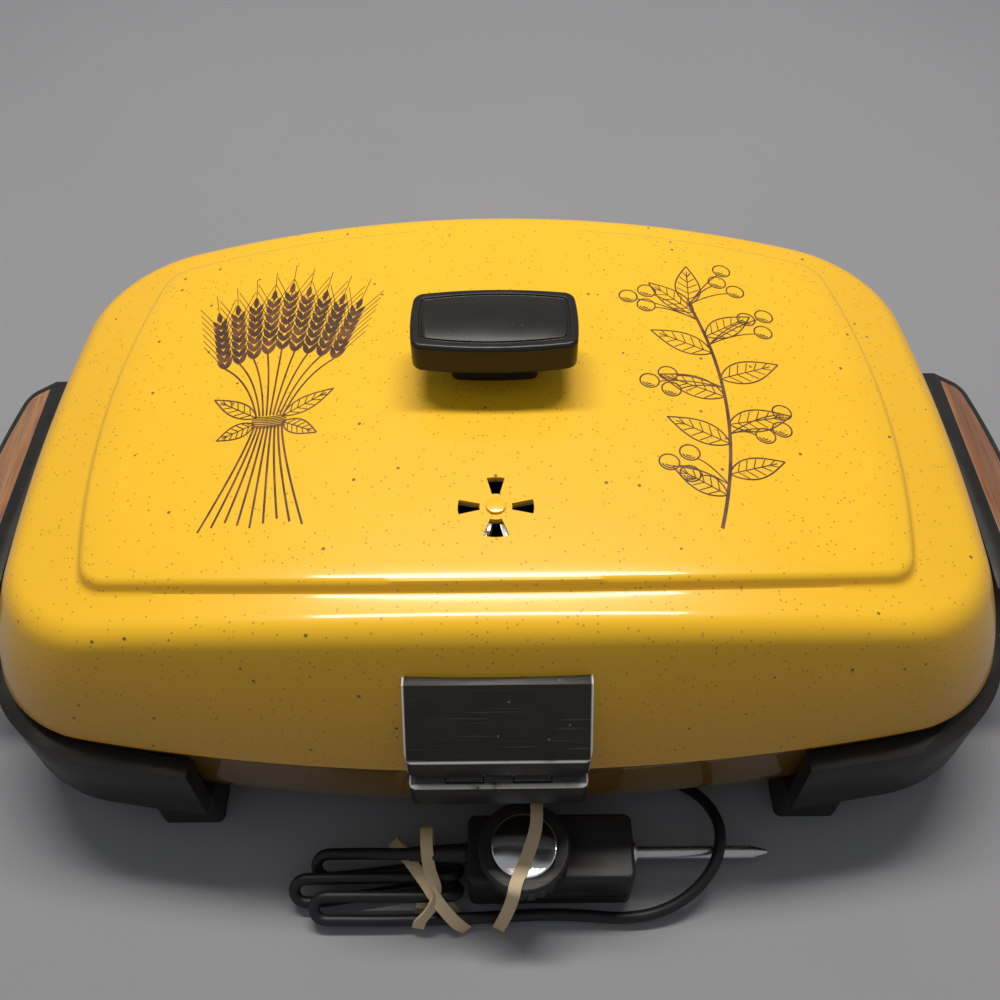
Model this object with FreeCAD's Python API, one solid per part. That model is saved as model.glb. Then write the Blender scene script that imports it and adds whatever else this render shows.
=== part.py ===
# Electric skillet with a hinged lid, its lift-off heat control and cord lying in front.
# Millimetres. +Z up, +X to the right, -Y towards the hinge side, where the camera stood.
# The shapes are drawn about the middle of the pan, and every node is then moved by SHIFT_Y,
# so that the origin is the bottom centre of the skillet's own box.
import FreeCAD, Part
import math
import os

V = FreeCAD.Vector
X_AXIS = V(1, 0, 0)
Y_AXIS = V(0, 1, 0)
Z_AXIS = V(0, 0, 1)

# Frame
SHIFT_Y = 3.6

# A length past the whole skillet, for cutting tools, and a small gap past a face that is cut
FAR = 260.0
PAST = 1.0

# Plan outline: a rectangle with bowed sides and round corners, given at the lid's rim
RIM_HALF_X = 195.0
RIM_HALF_Y = 128.0
RIM_BOW_X = 10.4
RIM_BOW_Y = 23.4
RIM_CORNER_R = 50.9

# Heights of the main parts above the table
PAN_BOTTOM_Z = 13.5
PAN_TOP_Z = 63.2
LID_RIM_Z = 64.0
LID_TOP_Z = 132.0

# Pan
PAN_WALL = 3.2
PAN_TOP_SCALE = 0.988
PAN_FOOT_SCALE = 0.968
PAN_BOTTOM_R = 21.0
PAN_FLOOR_Z = 17.7
PAN_FLANGE_H = 3.4
PAN_LIP_IN = 1.2
PAN_LIP_R = 1.2
ELEMENT_R = 3.4
RIDGE_R = 6.4
ELEMENT_HALF_X = 118.0
ELEMENT_HALF_Y = 66.0
ELEMENT_BEND_R = 34.0
ELEMENT_Z = 13.4

# Lid
LID_WALL = 1.8
LID_WAIST_SCALE = 0.938
LID_WAIST_Z = 98.0
LID_HEAD_SCALE = 0.815
LID_HEAD_Z = 138.0
DOME_R = 705.0
PANEL_STEP = 4.4
SHOULDER_R = 9.0
PANEL_HALF_X = 153.6
PANEL_HALF_Y = 94.1
PANEL_BOW_X = 14.2
PANEL_BOW_Y = 13.0
PANEL_CORNER_R = 13.6
PANEL_EDGE_R = 2.4

# Vent in the lid
VENT_Y = -62.8
VENT_OUTER_R = 13.1
VENT_INNER_R = 5.6
SLOT_HALF_DEG = 14.0
LUG_SLOT_HALF_DEG = 20.5
SHUTTER_R = 17.5
SHUTTER_SLOT_HALF_DEG = 12.4
LUG_START_DEG = 13.0
SHUTTER_T = 0.8
SHUTTER_GAP = 0.35
RIVET_R = 1.9
RIVET_HEAD_R = 3.4
RIVET_HEAD_H = 0.9
RIVET_TAIL_R = 3.6
RIVET_TAIL_DROP = 4.0
RIVET_TAIL_T = 1.0
HEAD_GAP = 0.02
LUG_HALF_W = 0.6
LUG_R0 = 8.4
LUG_R1 = 11.6
LUG_RISE = 1.2

# Knob
KNOB_Y = 5.6
KNOB_HALF_X = 30.8
KNOB_HALF_Y = 16.8
KNOB_TOP_Z = 156.5
KNOB_H = 12.5
PEDESTAL_HALF_X = 16.5
PEDESTAL_HALF_Y = 8.0
KNOB_BOW_X = 1.4
KNOB_BOW_Y = 2.6
KNOB_CORNER_R = 4.5
PEDESTAL_BOW_X = 0.5
PEDESTAL_BOW_Y = 1.0
PEDESTAL_CORNER_R = 3.0
PEDESTAL_GAP = 0.25
KNOB_EDGE_R = 1.6
KNOB_GROOVE_IN = 3.2
KNOB_GROOVE_WIDTH = 1.0
KNOB_GROOVE_DEPTH = 0.6
KNOB_SCREW_R = 2.0
KNOB_SCREW_DEPTH = 8.0
KNOB_SCREW_ROOM = 0.5
KNOB_SCREW_HEAD_R = 4.2
KNOB_SCREW_HEAD_H = 2.4
WASHER_R = 7.0
WASHER_T = 1.2
WASHER_GAP = 0.2

# End mouldings: handle, skirt and two feet on each end
SKIRT_GAP = 0.35
SKIRT_T = 7.0
SKIRT_LOW_Z = 24.0
SKIRT_TOP_Z = 58.0
FOOT_X = 124.0
FOOT_HALF_X = 12.5
FOOT_Y = 111.5
FOOT_HALF_Y = 8.5
HANDLE_HALF_Y = 60.0
HANDLE_OUTER_X = 226.0
HANDLE_TOP_Z = 74.0
HANDLE_EDGE_Z = 61.0
HANDLE_BOTTOM_Z = 40.0
INLAY_BORDER = 3.2
RIB_X = 160.0
RIB_Y = 61.0
RIB_LOW_Z = 6.8
SCREW_R = 1.9
INLAY_T = 1.8
WINDOW_HALF_Y = 29.0
WINDOW_TOP_Z = 39.0
SKIRT_END_X = 112.0
FOOT_TOP_Z = 32.0
FOOT_EDGE_R = 3.0
GRIP_BOW_X = 9.0
GRIP_BOW_Y = 0.6
GRIP_CORNER_R = 7.0
SLOPE_START_X = 201.6
FINGER_INNER_X = 203.6
FINGER_OUTER_X = 221.0
FINGER_HALF_Y = 52.0
FINGER_TOP_Z = 56.0
RIB_HALF_X = 10.0
RIB_END_X = 198.0
RIB_HALF_Y = 6.5
RIB_TOP_Z = 30.0
INLAY_INNER_X = 204.1
INLAY_BOW_X = 8.4
INLAY_CORNER_R = 5.0
LID_CLEARANCE = 1.2
FRAME_SCREW_HEAD_R = 3.6
FRAME_SCREW_HEAD_H = 1.8
FRAME_SCREW_BITE = 2.8

# Socket for the heat control, in the left end
SOCKET_Z = 8.7
WELL_R = 4.6
WELL_BORE_R = 2.75
WELL_MOUTH_X = -198.0
WELL_LENGTH = 70.0
GUARD_HALF_Y = 21.0
GUARD_T = 1.6
PIN_R = 2.4
PIN_PITCH = 11.0
PIN_TIP_X = -204.0
PIN_ROOT_X = -168.0
SLEEVE_MOUTH_X = -188.0
SLEEVE_T = 2.2
WELL_END_T = 3.0
GUARD_GAP = 0.2
GUARD_BELOW = 6.6
GUARD_ABOVE = 9.0

# Hinge
HINGE_Y = -131.2
HINGE_Z = 72.0
HINGE_PIN_R = 2.0
HINGE_RUN = 0.05
KNUCKLE_R = 3.8
PIN_HALF_X = 28.0
FIXED_SPANS = [(-28.0, -18.4), (-5.0, 5.0), (18.4, 28.0)]
MOVING_SPANS = [(-18.0, -5.4), (5.4, 18.0)]
ARM_HALF_Y = 2.4
BRACKET_HALF_X = 31.2
BRACKET_FRONT_Y = -135.2
BRACKET_BACK_Y = -100.0
BRACKET_CORNER_R = 2.6
LEDGE_TOP_Z = 66.2
LEDGE_BOTTOM_Z = 52.7
PLATE_TOP_Y = -119.0
PLATE_TOP_Z = 109.8
PLATE_EDGE_Z = 86.3
PLATE_LOW_Z = 76.8
PAN_SIDE_GAP = 0.3
LID_SIDE_GAP = 0.4
FIT = 0.05
RIVET_X = 19.0
PAN_RIVET_Z = 56.0
PAN_RIVET_OUT_Y = -131.0
PAN_RIVET_IN_Y = -122.8
LID_RIVET_Z = 91.0
LID_RIVET_OUT_Y = -121.5
LID_RIVET_IN_Y = -116.6
RIVET_SHANK_R = 1.9
BACK_HEAD_R = 3.8
BACK_HEAD_T = 1.2

# Heat control
CTRL_X0 = -12.0
CTRL_X1 = 50.0
CTRL_Y0 = -154.0
CTRL_Y1 = -128.8
CTRL_LOW_Z = 1.2
CTRL_SPLIT_Z = 13.0
CTRL_TOP_Z = 27.5
CTRL_WALL = 2.2
DIAL_X = 9.0
DIAL_Y = -144.4
DIAL_R = 17.0
DIAL_H = 8.5
DIAL_GAP = 0.4
DIAL_EDGE_R = 1.4
DIAL_SHAFT_R = 3.0
DIAL_SHAFT_RUN = 0.06
DIAL_SHAFT_TOP_Z = 33.5
DIAL_SHAFT_LOW_Z = 17.6
FLUTES = 24
FLUTE_R = 1.3
FLUTE_OUT = 0.7
FLUTE_SHORT = 1.5
CAP_R = 12.0
CAP_SEAT = 1.2
CAP_T = 1.6
CAP_EDGE_R = 0.5
CTRL_CORNER_R = 3.0
CTRL_LOW_EDGE_R = 0.8
CTRL_TOP_EDGE_R = 1.6
CTRL_INNER_R = 1.5
CTRL_SCREW_R = 1.4
CTRL_SCREW_X = (-5.0, 20.0)
CTRL_SCREW_Y = -134.3
CTRL_SCREW_SINK = 0.2
PROBE_R = 2.5
PROBE_Y = -137.2
PROBE_Z = 8.0
PROBE_TIP_X = 104.0
PROBE_TIP_LENGTH = 6.0
PROBE_TIP_R = 0.8
PROBE_INNER_X = 38.0
COLLAR_R = 4.2
COLLAR_X = (46.0, 53.0)
CLIP_Y = (-149.5, -132.6)
CLIP_X = (26.0, 46.0)
CLIP_Z = (4.0, 12.0)
CLIP_HALF_T = 0.8
PLATE_BOX = (-8.0, 34.0, -150.0, -133.0, 14.5, 16.0)
ARM_BOX = (-6.0, 22.0, -144.0, -140.0, 16.2, 17.0)
STRIP_BOX = (-6.0, 30.0, -136.8, -133.2, 16.2, 17.4)

# Cord
CORD_R = 2.2
HANK_X0 = -78.0
HANK_X1 = -15.0
HANK_Y0 = -163.0
HANK_Y1 = -131.0
HANK_TOP_Z = 14.0
HANK_END_R = 15.0
RELIEF_LENGTH = 22.0
LEAD_Y = -141.0
LEAD_Z = 20.0
LEAD_ROUTE = [(CTRL_X0 - RELIEF_LENGTH, LEAD_Y, LEAD_Z), (-43.5, -141.0, 20.0), (-52.5, -141.8, 17.6),
              (-60.0, -143.4, 12.4), (-66.0, -145.0, 7.0)]
CORD_ROUTE = [(HANK_X1, -158.9, 3.4), (-2.0, -158.9, 3.4), (14.0, -158.4, 3.4), (31.0, -158.9, 3.4),
              (46.0, -160.6, 3.6), (61.0, -159.0, 5.2), (74.0, -153.0, 10.0), (82.5, -144.0, 15.6),
              (86.0, -132.0, 15.8), (84.5, -120.5, 10.8), (78.5, -110.5, 5.4), (67.0, -103.4, 2.8),
              (51.5, -101.5, 2.5), (34.0, -101.5, 2.5)]
PLUG_LENGTH = 27.0
PLUG_HALF_Y = 12.0
PLUG_TOP_Z = 9.2
PLUG_CORNER_R = 2.5
BLADE_LENGTH = 17.0
BLADE_PITCH = 6.35
BLADE_HALF_T = 0.75
BLADE_Z = (1.4, 7.8)
HANK_EDGE_R = 3.5
RELIEF_R = (3.8, 2.6)
BAND_WIDTH = 5.0
BAND_T = 1.0
BAND_FRONT_Y = -163.4
BAND_CORNER_R = 2.0
BAND_LEFT_X = -27.0
BAND_LEFT_TOP_Z = 24.6
BAND_LEFT_BACK_Y = -130.8
BAND_RIGHT_X = 8.0
BAND_RIGHT_TOP_Z = 37.4
BAND_RIGHT_BACK_Y = -127.2


def place(shape):
    return shape.translated(V(0, SHIFT_Y, 0))


def save(node, *solids):
    made = [place(s) for s in solids]
    shape = made[0] if len(made) == 1 else Part.makeCompound(made)
    shape.exportStep("parts/" + node + ".step")
    return shape


def box(x0, x1, y0, y1, z0, z1):
    return Part.makeBox(x1 - x0, y1 - y0, z1 - z0, V(x0, y0, z0))


def rod(r, start, end):
    line = V(*end) - V(*start)
    return Part.makeCylinder(r, line.Length, V(*start), line)


def rounded(shape, radius, wanted):
    edges = [e for e in shape.Edges if wanted(e)]
    return shape.makeFillet(radius, edges)


def bowed_points(half_x, half_y, bow_x, bow_y, corner_r):
    """Arc ends and middles in the first quarter of a bowed rectangle."""
    r_long = (half_x ** 2 + bow_y ** 2) / (2 * bow_y)
    r_short = (half_y ** 2 + bow_x ** 2) / (2 * bow_x)
    c_long = V(0, half_y - r_long, 0)
    c_short = V(half_x - r_short, 0, 0)
    reach_long = r_long - corner_r
    reach_short = r_short - corner_r
    span = c_short - c_long
    along = (reach_long ** 2 - reach_short ** 2 + span.Length ** 2) / (2 * span.Length)
    aside = math.sqrt(reach_long ** 2 - along ** 2)
    unit = V(span).normalize()
    corner = c_long + unit * along + V(unit.y, -unit.x, 0) * aside
    end_long = c_long + (corner - c_long).normalize() * r_long
    end_short = c_short + (corner - c_short).normalize() * r_short
    middle = corner + V(end_long + end_short - corner * 2).normalize() * corner_r
    return end_long, middle, end_short


def outline(half_x, half_y, bow_x, bow_y, corner_r, z=0.0):
    """Closed wire of eight arcs: four bowed sides and four round corners."""
    a, m, b = bowed_points(half_x, half_y, bow_x, bow_y, corner_r)

    def p(point, sx, sy):
        return V(point.x * sx, point.y * sy, z)

    arcs = [
        Part.Arc(p(a, -1, 1), V(0, half_y, z), p(a, 1, 1)),
        Part.Arc(p(a, 1, 1), p(m, 1, 1), p(b, 1, 1)),
        Part.Arc(p(b, 1, 1), V(half_x, 0, z), p(b, 1, -1)),
        Part.Arc(p(b, 1, -1), p(m, 1, -1), p(a, 1, -1)),
        Part.Arc(p(a, 1, -1), V(0, -half_y, z), p(a, -1, -1)),
        Part.Arc(p(a, -1, -1), p(m, -1, -1), p(b, -1, -1)),
        Part.Arc(p(b, -1, -1), V(-half_x, 0, z), p(b, -1, 1)),
        Part.Arc(p(b, -1, 1), p(m, -1, 1), p(a, -1, 1)),
    ]
    return Part.Wire([arc.toShape() for arc in arcs])


def rim_outline(scale, inset, z):
    """The skillet's plan shape at a scale, moved in by a wall thickness."""
    grow = scale * RIM_HALF_X
    return outline(grow - inset, scale * RIM_HALF_Y - inset, scale * RIM_BOW_X,
                   scale * RIM_BOW_Y, max(scale * RIM_CORNER_R - inset, 4.0), z)


def panel_outline(inset, z):
    return outline(PANEL_HALF_X - inset, PANEL_HALF_Y - inset, PANEL_BOW_X, PANEL_BOW_Y,
                   PANEL_CORNER_R - inset, z)


def prism(wire, height):
    return Part.Face(wire).extrude(V(0, 0, height))


def under_dome(top_z):
    """Everything below a roof that curves down towards both ends."""
    low_z = top_z - DOME_R + math.sqrt(DOME_R ** 2 - FAR ** 2)
    left_high, right_high = V(-FAR, -FAR, low_z), V(FAR, -FAR, low_z)
    left_low, right_low = V(-FAR, -FAR, 0), V(FAR, -FAR, 0)
    roof = Part.Arc(left_high, V(0, -FAR, top_z), right_high).toShape()
    sides = Part.makePolygon([right_high, right_low, left_low, left_high])
    return Part.Face(Part.Wire([roof] + sides.Edges)).extrude(V(0, 2 * FAR, 0))


def curved_path(points):
    """Straight runs joined by tangent arcs, as large as the runs allow."""
    pts = [V(*p) for p in points]
    edges = []
    radii = []
    here = pts[0]
    for before, corner, after in zip(pts, pts[1:], pts[2:]):
        way_in = (corner - before).normalize()
        way_out = (after - corner).normalize()
        turn = way_in.getAngle(way_out)
        run = min((corner - before).Length, (after - corner).Length)
        cut = 0.45 * run
        radii.append(cut / math.tan(turn / 2))
        start = corner - way_in * cut
        end = corner + way_out * cut
        inward = (way_out - way_in).normalize()
        depth = radii[-1] / math.cos(turn / 2) - radii[-1]
        edges.append(Part.LineSegment(here, start).toShape())
        edges.append(Part.Arc(start, corner + inward * depth, end).toShape())
        here = end
    edges.append(Part.LineSegment(here, pts[-1]).toShape())
    return Part.Wire(edges), radii


def tube(points, radius):
    wire, radii = curved_path(points)
    way = (V(*points[1]) - V(*points[0])).normalize()
    ring = Part.Wire([Part.makeCircle(radius, V(*points[0]), way)])
    solid = wire.makePipeShell([ring], True, False)
    return solid, wire, radii


# Pan

def pan_body(inset, low_z, top_z, bottom_r):
    """Wall that turns into the floor through a quarter circle."""
    rings = []
    for step in range(5):
        turn = math.radians(22.5 * step)
        tuck = bottom_r * (1 - math.sin(turn))
        rise = bottom_r * (1 - math.cos(turn))
        rings.append(rim_outline(PAN_FOOT_SCALE, inset + tuck, low_z + rise))
    bowl = Part.makeLoft(rings, True, False)
    wall = Part.makeLoft([rings[-1], rim_outline(PAN_TOP_SCALE, inset, top_z)], True, True)
    return bowl.fuse(wall)


def element_path():
    """One loop under the floor, with both cold ends leaving through the left end."""
    hx, hy, r = ELEMENT_HALF_X, ELEMENT_HALF_Y, ELEMENT_BEND_R
    z = ELEMENT_Z
    k = r * (1 - math.sqrt(0.5))
    start = V(-hx, -PIN_PITCH * 2, z)
    end = V(-hx, PIN_PITCH * 2, z)
    edges = [
        Part.LineSegment(start, V(-hx, -hy + r, z)).toShape(),
        Part.Arc(V(-hx, -hy + r, z), V(-hx + k, -hy + k, z), V(-hx + r, -hy, z)).toShape(),
        Part.LineSegment(V(-hx + r, -hy, z), V(hx - r, -hy, z)).toShape(),
        Part.Arc(V(hx - r, -hy, z), V(hx - k, -hy + k, z), V(hx, -hy + r, z)).toShape(),
        Part.LineSegment(V(hx, -hy + r, z), V(hx, hy - r, z)).toShape(),
        Part.Arc(V(hx, hy - r, z), V(hx - k, hy - k, z), V(hx - r, hy, z)).toShape(),
        Part.LineSegment(V(hx - r, hy, z), V(-hx + r, hy, z)).toShape(),
        Part.Arc(V(-hx + r, hy, z), V(-hx + k, hy - k, z), V(-hx, hy - r, z)).toShape(),
        Part.LineSegment(V(-hx, hy - r, z), end).toShape(),
    ]
    return Part.Wire(edges), start


def along_element(radius):
    wire, start = element_path()
    ring = Part.Wire([Part.makeCircle(radius, start, Y_AXIS)])
    return wire.makePipeShell([ring], True, False)


def make_pan():
    outer = pan_body(0.0, PAN_BOTTOM_Z, PAN_TOP_Z, PAN_BOTTOM_R)
    inner = pan_body(PAN_WALL, PAN_FLOOR_Z, PAN_TOP_Z + PAST, PAN_BOTTOM_R - PAN_WALL)
    lip = prism(rim_outline(1.0, PAN_LIP_IN, PAN_TOP_Z - PAN_FLANGE_H), PAN_FLANGE_H)
    lip = rounded(lip, PAN_LIP_R, lambda e: True)
    ridge = along_element(RIDGE_R)
    pan = outer.fuse(lip).fuse(ridge).cut(inner)
    pan = pan.cut(along_element(ELEMENT_R))
    for fastener in pan_rivets() + frame_screws():
        pan = pan.cut(fastener)
    return pan.removeSplitter()


# Lid

def lid_body(inset, drop, shoulder_r):
    """Convex wall under a domed roof, with the raised panel on top."""
    low_z = LID_RIM_Z if inset == 0 else LID_RIM_Z - PAST
    low = rim_outline(1.0, inset, low_z)
    waist = rim_outline(LID_WAIST_SCALE, inset, LID_WAIST_Z)
    head = rim_outline(LID_HEAD_SCALE, inset, LID_HEAD_Z)
    walls = Part.makeLoft([low, waist, head], True, False)
    roof_z = LID_TOP_Z - PANEL_STEP - drop
    body = walls.common(under_dome(roof_z))
    body = rounded(body, shoulder_r, lambda e: e.BoundBox.ZMin > 90 and e.Length > 20)
    panel = prism(panel_outline(drop, LID_WAIST_Z), FAR).common(under_dome(LID_TOP_Z - drop))
    body = body.fuse(panel).removeSplitter()
    return body


def slot(angle, half_deg, z0, z1):
    ring = Part.makeCylinder(VENT_OUTER_R, z1 - z0, V(0, VENT_Y, z0), Z_AXIS, 2 * half_deg)
    ring.rotate(V(0, VENT_Y, 0), Z_AXIS, angle - half_deg)
    return ring.cut(Part.makeCylinder(VENT_INNER_R, z1 - z0, V(0, VENT_Y, z0)))


def vent_slots(z0, z1):
    made = [slot(angle, SLOT_HALF_DEG, z0, z1) for angle in (0, 90, 180)]
    return made + [slot(270, LUG_SLOT_HALF_DEG, z0, z1)]


def shutter_slots(z0, z1):
    return [slot(angle, SHUTTER_SLOT_HALF_DEG, z0, z1) for angle in (0, 90, 180, 270)]


def make_lid():
    lid = lid_body(0.0, 0.0, SHOULDER_R)
    lid = rounded(lid, PANEL_EDGE_R, is_panel_top)
    inner = lid_body(LID_WALL, LID_WALL, SHOULDER_R - LID_WALL)
    lid = lid.cut(inner)
    low_z = LID_TOP_Z - LID_WALL - PANEL_STEP
    high_z = LID_TOP_Z + PANEL_STEP
    for cutter in vent_slots(low_z, high_z):
        lid = lid.cut(cutter)
    lid = lid.cut(rod(KNOB_SCREW_R, (0, KNOB_Y, low_z), (0, KNOB_Y, high_z)))
    lid = lid.cut(rod(RIVET_R, (0, VENT_Y, low_z), (0, VENT_Y, high_z)))
    for rivet in lid_rivets():
        lid = lid.cut(rivet)
    return lid


def is_panel_top(edge):
    middle = edge.valueAt((edge.FirstParameter + edge.LastParameter) / 2)
    roof = LID_TOP_Z - DOME_R + math.sqrt(DOME_R ** 2 - middle.x ** 2)
    inside = abs(middle.x) < PANEL_HALF_X + 1 and abs(middle.y) < PANEL_HALF_Y + 1
    return inside and abs(middle.z - roof) < 0.4 and edge.Length > 5


def make_vent():
    top = LID_TOP_Z - LID_WALL - SHUTTER_GAP
    plate = Part.makeCylinder(SHUTTER_R, SHUTTER_T, V(0, VENT_Y, top - SHUTTER_T))
    for cutter in shutter_slots(top - SHUTTER_T - PAST, top + PAST):
        plate = plate.cut(cutter)
    plate = plate.cut(rod(RIVET_R + FIT, (0, VENT_Y, top - SHUTTER_T - PAST), (0, VENT_Y, top + PAST)))
    lug = box(-LUG_HALF_W, LUG_HALF_W, VENT_Y - LUG_R1, VENT_Y - LUG_R0,
              top - SHUTTER_T, LID_TOP_Z + LUG_RISE)
    lug.rotate(V(0, VENT_Y, 0), Z_AXIS, -LUG_START_DEG)
    plate = plate.fuse(lug)
    tail_z = LID_TOP_Z - LID_WALL - RIVET_TAIL_DROP
    head_z = LID_TOP_Z + HEAD_GAP
    stem = rod(RIVET_R, (0, VENT_Y, tail_z), (0, VENT_Y, head_z + RIVET_HEAD_H / 2))
    head = rod(RIVET_HEAD_R, (0, VENT_Y, head_z), (0, VENT_Y, head_z + RIVET_HEAD_H))
    tail = rod(RIVET_TAIL_R, (0, VENT_Y, tail_z), (0, VENT_Y, tail_z + RIVET_TAIL_T))
    return plate, stem.fuse([head, tail])


# Knob

def knob_plan(inset, z):
    """The knob's bowed rectangle, moved in from its edge."""
    corner_r = max(KNOB_CORNER_R - inset, KNOB_CORNER_R / 2)
    return outline(KNOB_HALF_X - inset, KNOB_HALF_Y - inset, KNOB_BOW_X, KNOB_BOW_Y, corner_r, z)


def make_knob():
    low_z = KNOB_TOP_Z - KNOB_H
    cap = prism(knob_plan(0.0, low_z), KNOB_H)
    cap = rounded(cap, KNOB_EDGE_R, lambda e: e.BoundBox.ZMin > low_z + 1 or e.BoundBox.ZMax < low_z + 1)
    groove_z = KNOB_TOP_Z - KNOB_GROOVE_DEPTH
    groove = prism(knob_plan(KNOB_GROOVE_IN, groove_z), PAST)
    groove = groove.cut(prism(knob_plan(KNOB_GROOVE_IN + KNOB_GROOVE_WIDTH, groove_z), PAST))
    cap = cap.cut(groove)
    cap = cap.translated(V(0, KNOB_Y, 0))
    cap = cap.cut(rod(KNOB_SCREW_R, (0, KNOB_Y, low_z - PAST), (0, KNOB_Y, low_z + KNOB_SCREW_DEPTH)))
    foot_z = LID_TOP_Z + PEDESTAL_GAP
    pedestal = prism(outline(PEDESTAL_HALF_X, PEDESTAL_HALF_Y, PEDESTAL_BOW_X, PEDESTAL_BOW_Y,
                             PEDESTAL_CORNER_R, foot_z), low_z - foot_z)
    pedestal = pedestal.translated(V(0, KNOB_Y, 0))
    pedestal = pedestal.cut(rod(KNOB_SCREW_R, (0, KNOB_Y, foot_z - PAST), (0, KNOB_Y, low_z + PAST)))
    washer_z = LID_TOP_Z - LID_WALL - WASHER_GAP - WASHER_T
    washer = rod(WASHER_R, (0, KNOB_Y, washer_z), (0, KNOB_Y, washer_z + WASHER_T))
    washer = washer.cut(rod(KNOB_SCREW_R, (0, KNOB_Y, washer_z - PAST), (0, KNOB_Y, low_z)))
    shank_top = low_z + KNOB_SCREW_DEPTH - KNOB_SCREW_ROOM
    shank = rod(KNOB_SCREW_R, (0, KNOB_Y, washer_z), (0, KNOB_Y, shank_top))
    head = rod(KNOB_SCREW_HEAD_R, (0, KNOB_Y, washer_z - KNOB_SCREW_HEAD_H), (0, KNOB_Y, washer_z))
    return cap, pedestal, washer, shank.fuse(head)


# End mouldings

def make_end(side, window):
    """One black moulding: skirt round both pan corners, two feet and the grip."""
    height = SKIRT_TOP_Z - SKIRT_LOW_Z
    outer = prism(rim_outline(PAN_TOP_SCALE, -SKIRT_GAP - SKIRT_T, SKIRT_LOW_Z), height)
    band = outer.common(box(SKIRT_END_X, FAR, -FAR, FAR, 0, FAR))
    feet = []
    for y in (-FOOT_Y, FOOT_Y):
        foot = box(FOOT_X - FOOT_HALF_X, FOOT_X + FOOT_HALF_X, y - FOOT_HALF_Y, y + FOOT_HALF_Y,
                   0, FOOT_TOP_Z)
        feet.append(rounded(foot, FOOT_EDGE_R, lambda e: e.BoundBox.ZLength > FOOT_TOP_Z / 2))
    base = outline(HANDLE_OUTER_X, HANDLE_HALF_Y, GRIP_BOW_X, GRIP_BOW_Y, GRIP_CORNER_R,
                   HANDLE_BOTTOM_Z)
    grip = prism(base, HANDLE_TOP_Z - HANDLE_BOTTOM_Z)
    grip = grip.common(box(SKIRT_END_X + PAST, FAR, -FAR, FAR, 0, FAR))
    slope = math.atan2(HANDLE_TOP_Z - HANDLE_EDGE_Z, HANDLE_OUTER_X - SLOPE_START_X)
    finger = box(FINGER_INNER_X, FINGER_OUTER_X, -FINGER_HALF_Y, FINGER_HALF_Y,
                 HANDLE_BOTTOM_Z - PAST, FINGER_TOP_Z)
    grip = grip.cut(sloping_slab(slope, 0, FAR)).cut(finger)
    ribs = [box(RIB_X - RIB_HALF_X, RIB_END_X, y - RIB_HALF_Y, y + RIB_HALF_Y, RIB_LOW_Z, RIB_TOP_Z)
            for y in (-RIB_Y, RIB_Y)]
    body = band.fuse([grip] + feet + ribs)
    hollow = prism(rim_outline(PAN_TOP_SCALE, -SKIRT_GAP, SKIRT_LOW_Z - PAST), FAR)
    lid_room = prism(rim_outline(1.0, -LID_CLEARANCE, PAN_TOP_Z - PAN_FLANGE_H - SKIRT_GAP), FAR)
    pan_room = pan_body(-SKIRT_GAP, PAN_BOTTOM_Z - SKIRT_GAP, PAN_TOP_Z, PAN_BOTTOM_R)
    body = body.cut(hollow).cut(lid_room).cut(pan_room)
    inlay = make_inlay(slope)
    body = body.cut(inlay)
    for screw in frame_screws():
        body = body.cut(screw)
    if window:
        body = body.cut(box(SKIRT_END_X, FAR, -WINDOW_HALF_Y, WINDOW_HALF_Y, 0, WINDOW_TOP_Z))
    if side < 0:
        body = body.mirror(V(0, 0, 0), X_AXIS)
        inlay = inlay.mirror(V(0, 0, 0), X_AXIS)
    return body, inlay


def sloping_slab(slope, low, high):
    """A slab that lies along the sloping top of the grip, between two heights above it."""
    slab = box(-PAST * 5, FAR, -FAR, FAR, low, high)
    slab.rotate(V(0, 0, 0), Y_AXIS, math.degrees(slope))
    return slab.translated(V(SLOPE_START_X, 0, HANDLE_TOP_Z))


def make_inlay(slope):
    """Thin plate let into the sloping top of the grip, inside a black border."""
    plan = outline(HANDLE_OUTER_X - INLAY_BORDER, HANDLE_HALF_Y - INLAY_BORDER, INLAY_BOW_X,
                   GRIP_BOW_Y, INLAY_CORNER_R, HANDLE_BOTTOM_Z)
    plate = prism(plan, FAR).common(box(INLAY_INNER_X, FAR, -FAR, FAR, 0, FAR))
    return plate.common(sloping_slab(slope, -INLAY_T, 0))


def frame_screws():
    """Four screws from below, through the ribs of the end mouldings into the pan's floor."""
    screws = []
    for x in (-RIB_X, RIB_X):
        for y in (-RIB_Y, RIB_Y):
            shank = rod(SCREW_R, (x, y, RIB_LOW_Z - PAST), (x, y, PAN_BOTTOM_Z + FRAME_SCREW_BITE))
            head = rod(FRAME_SCREW_HEAD_R, (x, y, RIB_LOW_Z - FRAME_SCREW_HEAD_H), (x, y, RIB_LOW_Z))
            screws.append(shank.fuse(head))
    return screws


# Hinge

def knuckle(a, b):
    return rod(KNUCKLE_R, (a, HINGE_Y, HINGE_Z), (b, HINGE_Y, HINGE_Z))


def is_front_corner(edge):
    return edge.BoundBox.ZLength > 5 and edge.BoundBox.XLength < 0.1 and edge.BoundBox.YMax < HINGE_Y


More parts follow.
